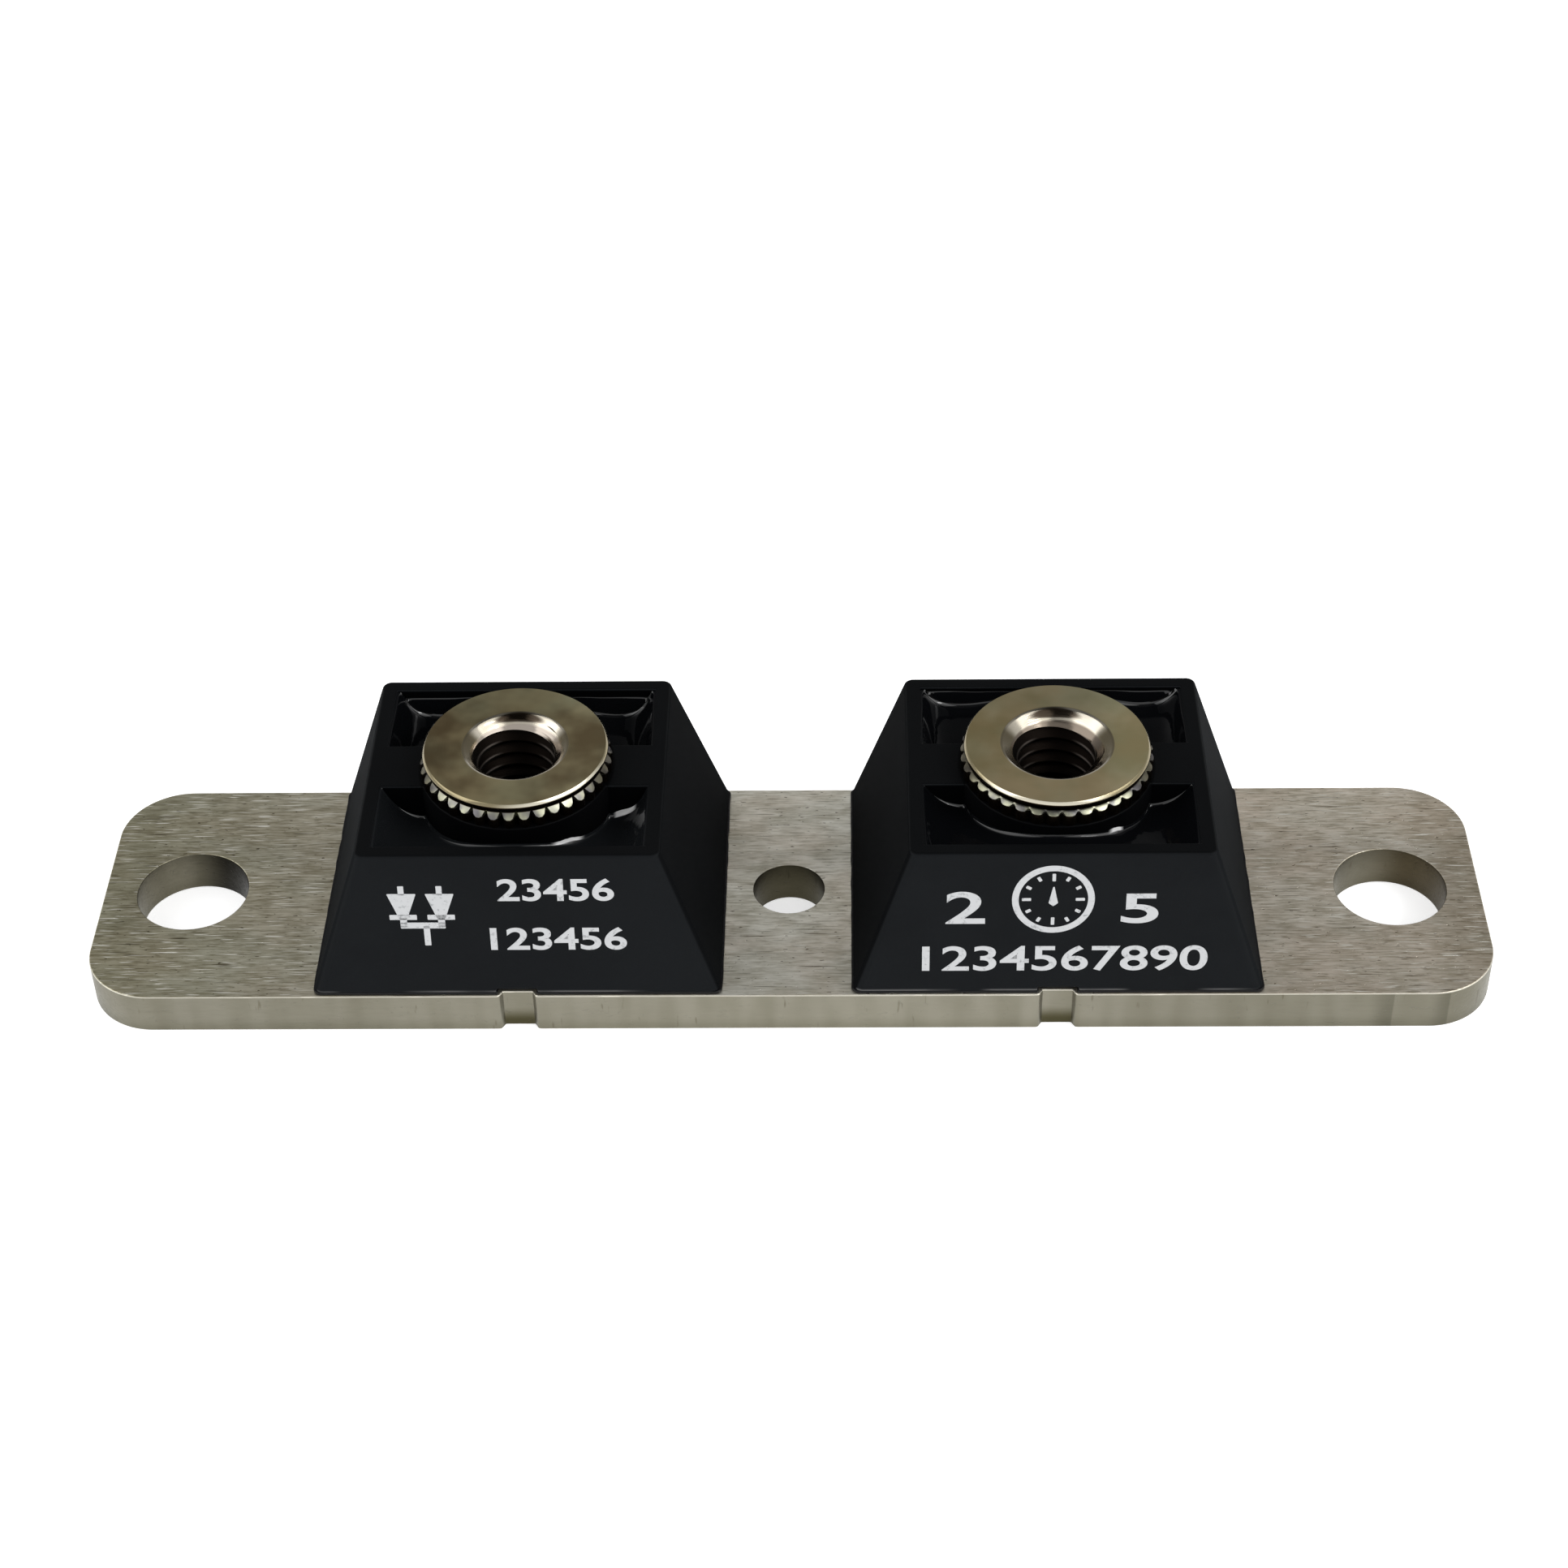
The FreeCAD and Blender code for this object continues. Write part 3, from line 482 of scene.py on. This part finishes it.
def make_nut(teeth, mouth, root, groove, drop):
    """A nut at the origin: its thread and countersink, its turned outside, then its teeth."""
    built = bmesh.new()
    knee = FACE - (mouth - CUT_KNEE) / CUT_SLOPE
    seat = FACE - (mouth - THREAD_R) / CUT_SLOPE
    steep = (CUT_KNEE - CREST_R) / (knee - FACE + CUT_DEPTH)

    # The thread: one profile, screwed round once, then opened out by the countersink
    ridge = [(0.0, CREST_R), (0.05, CREST_R - 0.03), (0.2, CREST_R - 0.03), (0.25, CREST_R),
             (0.56, THREAD_R - 0.04), (0.625, THREAD_R), (0.69, THREAD_R - 0.04)]
    start = BORE_END - 1.5
    spin_profile(built, [(radius, start + (turn + share) * THREAD_PITCH)
                         for turn in range(THREAD_TURNS) for share, radius in ridge],
                 THREAD_STEPS, rise=THREAD_PITCH)
    for vert in built.verts:
        cut = max(0.0, min(1.0, (vert.co.z - BORE_END - 0.2) / 1.2))
        wanted = CREST_R + (vert.co.xy.length - CREST_R) * cut
        wanted = max(wanted, mouth - (FACE - vert.co.z) * CUT_SLOPE if vert.co.z > knee
                     else CUT_KNEE - (knee - vert.co.z) * steep)
        vert.co.xy *= wanted / vert.co.xy.length
    for height, normal in ((seat, 1), (BORE_END, -1)):
        bmesh.ops.bisect_plane(built, geom=built.verts[:] + built.edges[:] + built.faces[:],
                               dist=1e-5, plane_co=(0, 0, height), plane_no=(0, 0, normal),
                               clear_outer=True)
    bmesh.ops.remove_doubles(built, verts=built.verts, dist=2e-3)
    point = bmesh.ops.extrude_edge_only(built, edges=open_ring(built, BORE_END))["geom"]
    bmesh.ops.pointmerge(built, verts=list(filter(is_vert, point)),
                         merge_co=(0, 0, BORE_POINT))

    # The mouth of the countersink, with its lip rounded off
    ring = open_ring(built, seat)
    for radius, height in ((THREAD_R + 0.05, seat + 0.05 / CUT_SLOPE),
                           (mouth - 0.12, FACE - 0.12 / CUT_SLOPE),
                           (mouth - 0.08, FACE - 0.08 / CUT_SLOPE), (mouth - 0.02, FACE - 0.04),
                           (mouth + 0.05, FACE - 0.008), (mouth + 0.12, FACE)):
        ring = raise_ring(built, ring, radius, height)

    # The turned outside, from the face round to the spigot
    top_slope = drop / (KNURL_R - SHOULDER_R)
    tip = KNURL_TOP - drop
    section = [(CHAMFER_R - CHAMFER, FACE), (CHAMFER_R, FACE - CHAMFER)]
    section += corner(DISC_R - DISC_LIP, DISC_BOTTOM + DISC_LIP, DISC_LIP, 0, -90, 3)
    section += [(NECK_R, DISC_BOTTOM), (NECK_R, KNURL_TOP), (SHOULDER_R, KNURL_TOP)]
    if root > SHOULDER_R:
        section.append((root, KNURL_TOP - top_slope * (root - SHOULDER_R)))
    section += [(root, tip), (root, RIM + 0.01), (BODY_R, RIM + 0.01), (BODY_R, BODY_END),
                (SPIGOT_R, BODY_END), (SPIGOT_R, SPIGOT_END), (0.0, SPIGOT_END)]
    spin_profile(built, section, teeth * TOOTH_STEPS, merge=True)
    bmesh.ops.triangle_fill(built, use_beauty=True,
                            edges=[edge for edge in built.edges if edge.is_boundary])

    # Between two grooves, each column of the ring moves to its place on a round tooth
    starts, hips = [], []
    for vert in built.verts:
        if abs(vert.co.xy.length - root) > 1e-3 or not RIM < vert.co.z < KNURL_TOP + 0.01:
            continue
        turn = vert.co.xy.angle_signed(Vector((1, 0))) / (2 * pi) * teeth
        column = round((turn % 1) * TOOTH_STEPS) % TOOTH_STEPS
        if column == 0:
            vert.co.xy *= groove / root
            continue
        index = min(column, TOOTH_STEPS - column) - 1
        offset, share = TOOTH[index]
        wanted = 0.5 + offset * (1 if column > len(TOOTH) else -1)
        shift = (wanted - column / TOOTH_STEPS) * 2 * pi / teeth
        vert.co.xy = Matrix.Rotation(shift, 2) @ vert.co.xy
        if vert.co.z > tip + 0.01:
            starts += [vert] if index == 0 else []
            continue
        out = root + (KNURL_R - root) * share
        vert.co.xy *= out / root
        if vert.co.z > tip - 0.01 and share:
            vert.co.z = KNURL_TOP - top_slope * (out - SHOULDER_R)
            hips += [vert] if index == 1 else []
    bmesh.ops.connect_verts(built, verts=starts + hips)
    toothed = [edge for edge in built.edges if edge.calc_face_angle(0) > radians(36) and all(
        root + 0.1 < vert.co.xy.length and RIM + 0.05 < vert.co.z < KNURL_TOP - 0.01
        for vert in edge.verts)]
    bmesh.ops.bevel(built, geom=toothed, affect="EDGES", offset=0.03, offset_type="OFFSET",
                    segments=2, profile=0.5, material=-1, clamp_overlap=True)
    bmesh.ops.recalc_face_normals(built, faces=built.faces)
    return built


for side, way in SIDES.items():
    turned, place = new_finish(f"{side}_turned_nickel", Metallic=1.0)
    centred = place.node("Mapping", {"Vector": place, "Location": (-way * TOWER_X, 0, 0)})
    x, y, z = centred.parts()
    from_axis = (x * x + y * y) ** 0.5
    rings = x.node("CombineXYZ", {0: from_axis, 1: z}).grain((0.05, 0.05, 1), 2, 0.5)
    stain = centred.grain((2.6, 2.6, 3), 2, 0.5, offset=(way * 4, 3, 1))
    hue = centred.grain((3, 3, 3), 2, 0.5, offset=(way * 9, 8, 3))
    # A painted sheen: the face lighter towards the front and rear than at its sides
    bowtie_sheen = y * y / (x * x + y * y + 0.01)
    tone = bowtie_sheen * 0.5 + stain * 1.3 + rings * 0.1 - 0.56
    metal = tone.between(0.0, 0.75).blend(*FACE_STAINS_AND_SHEEN[side])
    metal = hue.between(0.35, 0.65).blend(metal, metal.tinted((1.03, 0.95, 0.9)))
    # Painted light and shade: the face lighter and bluer towards the right, darker towards the rear
    metal = x.between(1.5, 4.5).blend(metal, metal.tinted((1.35, 1.42, 1.5)))
    metal = y.between(2.5, 4.8).blend(metal, metal.tinted((0.88, 0.93, 0.96)))

    # The countersink and the rim of the disc are cut bright, with painted reflection in the
    # countersink and a painted gleam on the rim; the neck and the bore stay dark in painted shade
    mouth = NUTS[side]["mouth"]
    cut = from_axis.between(mouth, mouth + 0.1, 1, 0)
    above_neck = z.between(FACE - 0.19, FACE - 0.16)
    face_edge = CHAMFER_R - CHAMFER
    chamfer = from_axis.between(face_edge - 0.01, face_edge + 0.02) * above_neck
    turned_edge = cut + chamfer
    patchy = stain.between(0.3, 0.7)
    shine = patchy.blend(*MOUTH_SHINE)
    # Painted reflection in the countersink: darker at its sides, another tone deeper down, and a
    # dark patch at the rear
    shine = (1 - bowtie_sheen).between(0.72, 0.9).blend(shine, MOUTH_SIDE_REFLECTION)
    shine = z.between(FACE - 0.6, FACE - 0.45, 1, 0).blend(shine, MOUTH_DEEP_REFLECTION[side])
    rear_reflection = x * x * 0.33 + (z - 15.38) * (z - 15.38) * 20
    rear_reflection = rear_reflection.between(0.5, 1.2, 1, 0) * y.between(1, 2)
    shine = rear_reflection.blend(shine, patchy.blend(*MOUTH_REAR_REFLECTION))
    glint = x * (sin(radians(GLINTS[side])) / 6) - y * (cos(radians(GLINTS[side])) / 6)
    gleam = glint.between(0.68, 0.95).blend(*RIM_SHINE)
    metal = turned_edge.blend(metal, cut.blend(gleam, shine))
    outer = from_axis.between(5.0, 5.2)
    metal = (outer * (1 - above_neck)).blend(metal, NECK_SHADE)
    tip = KNURL_TOP - NUTS[side]["drop"]
    tops = outer * z.band(tip - 0.02, tip + 0.02, KNURL_TOP - 0.03, KNURL_TOP - 0.01)
    tooth = centred.grain((1.0, 1.0, 3), 1, 0.5, offset=(way * 2, 5, 7)).between(0.35, 0.65)
    tooth = tooth.blend(*TOOTH_TOPS)
    # Painted shade: the tops of the teeth darker towards the sides of the nut
    tooth = (x * x).between(4 ** 2, 5.83 ** 2).blend(tooth, tooth.tinted((0.35, 0.32, 0.3)))
    metal = tops.blend(metal, tooth)
    bore = z.between(14.6, 14.7, 1, 0) * from_axis.between(3.3, 3.4, 1, 0)
    crest = from_axis.between(CREST_R + 0.02, CREST_R + 0.1, 1, 0) * (x * x).between(1, 4)
    metal = bore.blend(metal, crest.blend(BORE_SHADE, CREST_SHINE))
    feed(turned, bump=rings * 0.5 + stain * 0.5, bump_depth=0.01, Base_Color=metal,
         Roughness=turned_edge.between(0, 1, 0.3, 0.15) + bore * 0.3)
    nut = make_nut(**NUTS[side])
    bmesh.ops.translate(nut, vec=(way * TOWER_X, 0, 0), verts=nut.verts)
    finish_piece(nut, f"{side}_nut", turned, [f"{side}_terminal_nut"], sharp=38,
                 even=False)

# Black epoxy is poured into each shell in front of and behind the web. It climbs the walls,
# the web and the boss as it cures, and stays glossy.
WEB_HALF, UNDER_WEB = 2.05, 9.3
POURS = {"left": {"middle": 10.6, "climb": 3.1, "ridge": 4.2, "film": 13.25,
                  "drips": ((3.75, -5.2, 0.7), (6.7, -2.2, 0.7))},
         "right": {"middle": 11.5, "climb": 2.2, "ridge": 3.4, "film": 13.55,
                   "drips": ((3.6, -5.3, 0.6),)}}
FILM_Y = 7.76
GEL_TOP = 6.0
POUR_X, POUR_Y = 8.74, 8.16
INSIDE_FOOT, INSIDE_LEAN = (11.85, 8.75), (3.25, 0.95)
EPOXY_BLACK, EPOXY_HAZE = (0.0025, 0.0028, 0.0034), (0.008, 0.009, 0.01)
RUN_SHINE = (0.75, 0.75, 0.75)

# Where a run of epoxy gets a painted highlight: beside each boss along X, and on the left web
LEFT_RUN, RIGHT_RUN = (-15, -14.4, -13.3, -12.8), (20.4, 20.8, 21.2, 21.5)
WEB_RUN_X, WEB_RUN_Y = (-11.2, -10.9, -9.9, -9.6), (-2.3, -2.24, -1.9, -1.8)

epoxy, place = new_finish("cast_epoxy", Specular_IOR_Level=0.05, Coat_Roughness=0.04)
ripple = place.grain((1.5, 1.5, 1.5), 2, 0.5)
_, away, up = place.node("NewGeometry", {}, output=1).parts()
x, y, _ = place.parts()
from_axis = beside_tower(x)
at_boss = (from_axis * from_axis + y * y).between((BOSS_R + 0.08) ** 2, (BOSS_R + 0.14) ** 2, 1, 0)
front = y.between(-3.6, -3.2, 1, 0)
run_highlight = (x.band(*LEFT_RUN) + x.band(*RIGHT_RUN)) * front * at_boss
run_highlight = run_highlight + x.band(*WEB_RUN_X) * y.band(*WEB_RUN_Y)
wetting = up.band(0.1, 0.3, 0.75, 0.92) * away.between(-0.25, 0.0, 1, 0)
wetting = wetting * (1 - (1 - run_highlight) * x.between(0, 1, 0.6, 0.35) * front)
left_front = x.between(-1, 1, 1, 0) * y.between(-1, 1, 1, 0)
dark = left_front.blend(EPOXY_BLACK, EPOXY_HAZE)
# The runs also get a painted highlight in their base colour
feed(epoxy, bump=ripple, bump_depth=0.03, Coat_Weight=wetting,
     Base_Color=(run_highlight * wetting).blend(dark, RUN_SHINE),
     Roughness=ripple.between(0.2, 0.8, 0.05, 0.1))


def shell_inside(height):
    """Half the clear width of the shell along X and Y at a height."""
    share = (height - FOOT_Z) / (RIM - FOOT_Z)
    return [foot - lean * share for foot, lean in zip(INSIDE_FOOT, INSIDE_LEAN)]


def pour_height(x, y, middle, climb, ridge, film, drips):
    """The height of the cured epoxy: level in the middle, and higher near what it wets."""
    sway = noise.noise(Vector((x * 0.4, y * 0.4, middle)))
    if y > FILM_Y:
        return min(film, film - 0.2 + 2 * (y - FILM_Y)) + 0.12 * sway
    wall_x, wall_y = shell_inside(RIM)[0], shell_inside(middle + 0.4)[1]
    from_side, from_end = wall_x - abs(x), FILM_Y - y if y > 0 else wall_y + y
    from_web, from_boss = abs(y) - WEB_HALF, hypot(x, y) - BOSS_R
    if from_web < -0.15 or from_boss < -0.15:
        return UNDER_WEB
    height = middle + 0.05 * sway + climb * exp(-max(from_side, 0) / 1.1)
    height += 0.4 * exp(-from_end / 0.14)
    swell = sum(exp(-((x - drip_x) ** 2 + (y - drip_y) ** 2) / size ** 2)
                for drip_x, drip_y, size in drips)
    height += (0.18 + 0.3 * swell) * exp(-from_web / (0.09 + 0.08 * swell))
    height += (0.2 + 0.2 * swell) * exp(-from_boss / (0.09 + 0.05 * swell))
    height += ridge * exp(-(max(from_boss, 0) + max(from_end, 0)) / 2.2)
    return min(height, RIM - 0.12)


for side, way in SIDES.items():
    poured = bmesh.new()
    bmesh.ops.create_grid(poured, x_segments=240, y_segments=224, size=1)
    bmesh.ops.scale(poured, vec=(POUR_X, POUR_Y, 1), verts=poured.verts)
    border = [edge for edge in poured.edges if edge.is_boundary]
    for vert in poured.verts:
        vert.co.z = pour_height(vert.co.x, vert.co.y, **POURS[side])
    skirt = bmesh.ops.extrude_edge_only(poured, edges=border)["geom"]
    wide_x, wide_y = shell_inside(GEL_TOP)
    for vert in filter(is_vert, skirt):
        vert.co = (vert.co.x * (wide_x + 0.05) / POUR_X, vert.co.y * (wide_y + 0.05) / POUR_Y,
                   GEL_TOP)
    bmesh.ops.contextual_create(poured, geom=[
        edge for edge in skirt if isinstance(edge, bmesh.types.BMEdge) and edge.is_boundary])
    bmesh.ops.translate(poured, vec=(way * TOWER_X, 0, 0), verts=poured.verts)
    bmesh.ops.recalc_face_normals(poured, faces=poured.faces)
    finish_piece(poured, f"{side}_epoxy", epoxy, [f"{side}_potting"], sharp=80,
                 even=False)

# A bead of black adhesive holds each shell to the bar. A little is squeezed out at its foot.
FOOT = (13.15, 10.05)
RELIEF_HALF, RELIEF_DEPTH = 1.25, 0.5
BEAD_HEIGHT, BEAD_EDGE = 0.24, 0.08
adhesive, place = new_finish("squeezed_adhesive", Roughness=0.35, Specular_IOR_Level=0.15)
feed(adhesive, bump=place.grain((0.5, 0.5, 0.3), 2), bump_depth=0.05,
     Base_Color=place.grain((1, 1, 1), 2).blend((0.0015, 0.0015, 0.002),
                                                (0.003, 0.003, 0.0035)))
for side, way in SIDES.items():
    end_x, side_y, gap_y = FOOT[0] + 0.1, FOOT[1] - 0.02, FOOT[1] - RELIEF_DEPTH
    inner_x, inner_y = shell_inside(FOOT_Z)
    outer = []
    for turn in (-1, 1):
        outer += [(turn * end_x, turn * side_y, 0.5), (turn * RELIEF_HALF, turn * side_y, 0.1),
                  (turn * RELIEF_HALF, turn * gap_y, 0.1), (-turn * RELIEF_HALF, turn * gap_y, 0.1),
                  (-turn * RELIEF_HALF, turn * side_y, 0.1), (-turn * end_x, turn * side_y, 0.5)]
    inner = [(-inner_x, -inner_y, 0.3), (inner_x, -inner_y, 0.3), (inner_x, inner_y, 0.3),
             (-inner_x, inner_y, 0.3)]
    bead = flat_piece(f"{side}_bead", [outer, inner], BAR[2], BAR[2] + BEAD_HEIGHT, BEAD_EDGE)
    bmesh.ops.subdivide_edges(bead, edges=[e for e in bead.edges if e.calc_length() > 1],
                              cuts=24, use_grid_fill=True)
    for vert in bead.verts:
        if abs(vert.co.x) > FOOT[0]:
            vert.co.x += 0.07 * noise.noise(Vector((vert.co.y * 0.9, way, 0))) * (
                1 if vert.co.x > 0 else -1)
    bmesh.ops.translate(bead, vec=(way * TOWER_X, 0, 0), verts=bead.verts)
    finish_piece(bead, f"{side}_bead", adhesive, [f"{side}_foot_seal"], even=False)

# Pale ink is stamped on the slanted front of each shell: the circuit symbol of two diodes with
# one common lead, plain numbers and a plain dial. The ink is thin and a little worn.
SIDE_TAPER = 1.25
LEAN = SIDE_TAPER / (RIM - FOOT_Z)
UP_FACE = Vector((0, LEAN, 1)).normalized()
FACE_NORMAL = Vector((0, -1, LEAN)).normalized()
INK = 0.02
INK_WORN, INK_FRESH = (0.33, 0.34, 0.35), (0.56, 0.57, 0.58)

ink, place = new_finish("stamped_ink", Specular_IOR_Level=0.3)
wear_and_edge_highlight = place.grain((0.3, 0.3, 0.3), 3, 0.65)
feed(ink, Base_Color=wear_and_edge_highlight.between(0.28, 0.45).blend(INK_WORN, INK_FRESH),
     Roughness=wear_and_edge_highlight.between(0.3, 0.7, 0.75, 0.5))


def stamp(target, mesh):
    """Lay a flat mesh, drawn in X and Y, on the slanted front of a shell at X = 0."""
    on_face = Matrix(((1, 0, 0, 0), (0, UP_FACE.y, FACE_NORMAL.y, -FOOT[1]),
                      (0, UP_FACE.z, FACE_NORMAL.z, FOOT_Z), (0, 0, 0, 1)))
    mesh.transform(on_face)
    target.from_mesh(mesh)
    bpy.data.meshes.remove(mesh)


def number(target, text, left, low, right, high, weight=0.014):
    """Stamp plain numbers that fill a box on the shell's front."""
    curve = bpy.data.curves.new("number", "FONT")
    curve.body, curve.extrude, curve.offset = text, INK / 2, weight
    curve.resolution_u = 12
    holder = bpy.data.objects.new("number", curve)
    bpy.context.scene.collection.objects.link(holder)
    bpy.context.view_layer.update()
    mesh = bpy.data.meshes.new_from_object(
        holder.evaluated_get(bpy.context.evaluated_depsgraph_get()))
    bpy.data.objects.remove(holder)
    xs, ys = [v.co.x for v in mesh.vertices], [v.co.y for v in mesh.vertices]
    scale = Matrix.Diagonal(((right - left) / (max(xs) - min(xs)),
                             (high - low) / (max(ys) - min(ys)), 1, 1))
    mesh.transform(Matrix.Translation((left, low, 0)) @ scale
                   @ Matrix.Translation((-min(xs), -min(ys), 0)))
    stamp(target, mesh)


def filled(target, loops, step):
    """Stamp a filled outline, less the loops inside it."""
    curve = bpy.data.curves.new("filled", "CURVE")
    curve.dimensions, curve.fill_mode, curve.extrude = "2D", "BOTH", INK / 2
    for loop in loops:
        rounded_loop(curve, loop, step=step)
    holder = bpy.data.objects.new("filled", curve)
    mesh = bpy.data.meshes.new_from_object(holder)
    bpy.data.objects.remove(holder)
    stamp(target, mesh)


def shape(target, corners):
    """Stamp a filled outline of straight lines."""
    filled(target, [[(x, y, 0.05) for x, y in corners]], step=0.03)


def block(target, left, low, right, high):
    """Stamp a filled rectangle."""
    shape(target, [(left, low), (right, low), (right, high), (left, high)])


marks = {side: bmesh.new() for side in SIDES}
for left, right in ((-7.76, -5.89), (-5.33, -3.49)):
    middle = (left + right) / 2
    shape(marks["left"], [(left, 7.9), (middle - 0.25, 5.95), (middle + 0.25, 5.95),
                          (right, 7.9)])
    block(marks["left"], middle - 0.19, 7.8, middle + 0.19, 8.5)
    block(marks["left"], middle - 0.87, 5.88, middle + 0.87, 6.27)
    block(marks["left"], middle - 0.22, 5.3, middle + 0.22, 6.0)
block(marks["left"], -7.04, 5.2, -4.19, 5.66)
block(marks["left"], -5.6, 3.86, -5.2, 5.4)
number(marks["left"], "23456", -0.75, 7.3, 6.63, 9.04, weight=0.02)
number(marks["left"], "123456", -1.41, 3.46, 7.28, 5.24, weight=0.02)
number(marks["right"], "2", -7.3, 5.4, -4.8, 7.9)
number(marks["right"], "5", 3.75, 5.4, 6.1, 7.7)
number(marks["right"], "1234567890", -8.75, 1.65, 9.4, 3.65)

# The dial: a ring, twelve strokes of which every third is longer, and a pointer
DIAL = Vector((-0.54, 7.28))
filled(marks["right"], [circle(*DIAL, radius) for radius in (2.6, 2.18)], step=0.12)
for hour in range(12):
    angle = hour * pi / 6
    out, beside = Vector((sin(angle), cos(angle))), Vector((cos(angle), -sin(angle)))
    start, end = 1.4 if hour % 3 == 0 else 1.62, 1.98
    shape(marks["right"], [tuple(DIAL + out * reach + beside * shift) for reach, shift in (
        (start, -0.11), (end, -0.11), (end, 0.11), (start, 0.11))])
shape(marks["right"], [tuple(DIAL + Vector(place)) for place in (
    (-0.3, -0.28), (0, 1.17), (0.3, -0.28), (0, -0.53))])
for side, way in SIDES.items():
    bmesh.ops.translate(marks[side], vec=(way * TOWER_X, 0, 0), verts=marks[side].verts)
    bmesh.ops.remove_doubles(marks[side], verts=marks[side].verts, dist=1e-5)
    finish_piece(marks[side], f"{side}_marks", ink, even=False)

# Under the epoxy a bent copper strap joins each nut to two dies, which are soldered to the bar
# and covered with clear gel. These pieces keep their CAD shape.
copper, place = new_finish("copper_strip", Metallic=1.0)
rolled = place.grain((2.5, 0.12, 0.12), 3, 0.6)
tarnish = place.grain((2, 2, 2), 3, 0.6, offset=(3, 1, 7))
bright = rolled.between(0.3, 0.7).blend((0.72, 0.36, 0.22), (0.86, 0.5, 0.34))
feed(copper, bump=rolled, bump_depth=0.01, Roughness=rolled.between(0.2, 0.8, 0.4, 0.25),
     Base_Color=tarnish.between(0.5, 0.75).blend(bright, (0.42, 0.19, 0.11)))

silicon, place = new_finish("metallised_silicon", Metallic=0.9)
film = place.grain((1.2, 1.2, 1), 2)
feed(silicon, Base_Color=film.blend((0.16, 0.17, 0.21), (0.28, 0.29, 0.32)),
     Roughness=film.between(0.3, 0.7, 0.3, 0.18))

solder, place = new_finish("reflowed_solder", Metallic=1.0)
frost = place.grain((0.3, 0.3, 0.3), 3, 0.6)
feed(solder, bump=frost, bump_depth=0.03,
     Base_Color=frost.blend((0.5, 0.5, 0.5), (0.7, 0.7, 0.69)),
     Roughness=frost.between(0.3, 0.7, 0.45, 0.28))

gel, place = new_finish("clear_gel", Roughness=0.12, Transmission_Weight=0.6, IOR=1.41)
haze = place.grain((3, 3, 2), 2)
feed(gel, bump=haze, bump_depth=0.05,
     Base_Color=haze.blend((0.74, 0.74, 0.69), (0.86, 0.86, 0.82)))

INNER_FINISHES = {"lead_strap": copper, "die_inner": silicon, "die_outer": silicon,
                  "base_solder": solder, "top_solder": solder, "junction_gel": gel}
for side in SIDES:
    for part, material in INNER_FINISHES.items():
        mesh = nodes[f"{side}_{part}"].data
        mesh.materials.clear()
        mesh.materials.append(material)

# The studio: a white floor that keeps the module's shadow, a pale sky and soft lamps.
FLOOR_HALF, FLOOR_DROP, FLOOR_GLOW = 6.0, 0.02 * MM, (0.6, 0.6, 0.6)
floor_mesh = bmesh.new()
bmesh.ops.create_grid(floor_mesh, x_segments=1, y_segments=1, size=FLOOR_HALF)
bmesh.ops.translate(floor_mesh, vec=(0, 0, -FLOOR_DROP), verts=floor_mesh.verts)
mesh = bpy.data.meshes.new("floor")
floor_mesh.to_mesh(mesh)
floor_mesh.free()
floor = bpy.data.objects.new("floor", mesh)
bpy.context.scene.collection.objects.link(floor)
paper, place = new_finish("white_paper", Base_Color=(0.9, 0.9, 0.9, 1), Roughness=0.9,
                          Specular_IOR_Level=0.1, Emission_Strength=1.0)
rays = place.node("LightPath", {})
seen = [Signal(rays.socket.node.outputs[name])
        for name in ("Is Camera Ray", "Is Glossy Ray", "Is Transmission Ray")]
lit = (seen[0] + seen[1] + seen[2]).between(0, 1)
feed(paper, Emission_Color=lit.blend((0, 0, 0), FLOOR_GLOW))
floor.data.materials.append(paper)

# The sky is white low down and dark above in front, where the glossy epoxy mirrors it
world = bpy.data.worlds.new("studio")
bpy.context.scene.world = world
world.use_nodes = True
sky = Signal(world.node_tree.nodes.new("ShaderNodeTexCoord").outputs["Generated"])
_, y, z = sky.parts()
front_sky = z.node("ValToRGB", {0: z}, stops=[
    (0.0, (1, 1, 1)), (1.0, (0.25, 0.25, 0.25)), (0.5, (1, 1, 1)),
    (0.72, (0.85, 0.85, 0.85)), (0.8, (0.05, 0.05, 0.05)), (0.93, (0.08, 0.08, 0.08))])
rear_sky = z.node("ValToRGB", {0: z}, stops=[
    (0.0, (1, 1, 1)), (1.0, (0.25, 0.25, 0.25)), (0.12, (0.55, 0.55, 0.55)),
    (0.65, (0.42, 0.42, 0.42))])
background = world.node_tree.nodes["Background"]
world.node_tree.links.new(y.between(0.1, 0.6).blend(front_sky, rear_sky).socket,
                          background.inputs["Color"])

# Azimuth from the front and elevation in degrees, width and height in metres, and watts
LAMPS = {"left_lamp": (-80, 40, 0.5, 0.5, 1.2), "right_lamp": (64, 43, 0.5, 0.5, 1.3),
         "strip_lamp": (62, 43, 0.2, 0.05, 0.35)}
LAMP_DISTANCE = 0.52
for name, (azimuth, elevation, width, height, power) in LAMPS.items():
    light = bpy.data.lights.new(name, "AREA")
    light.shape, light.size, light.size_y, light.energy = "RECTANGLE", width, height, power
    azimuth, elevation = radians(azimuth), radians(elevation)
    holder = bpy.data.objects.new(name, light)
    holder.location = LAMP_DISTANCE * Vector(
        (sin(azimuth) * cos(elevation), -cos(azimuth) * cos(elevation), sin(elevation)))
    holder.rotation_euler = holder.location.to_track_quat("Z", "Y").to_euler()
    bpy.context.scene.collection.objects.link(holder)
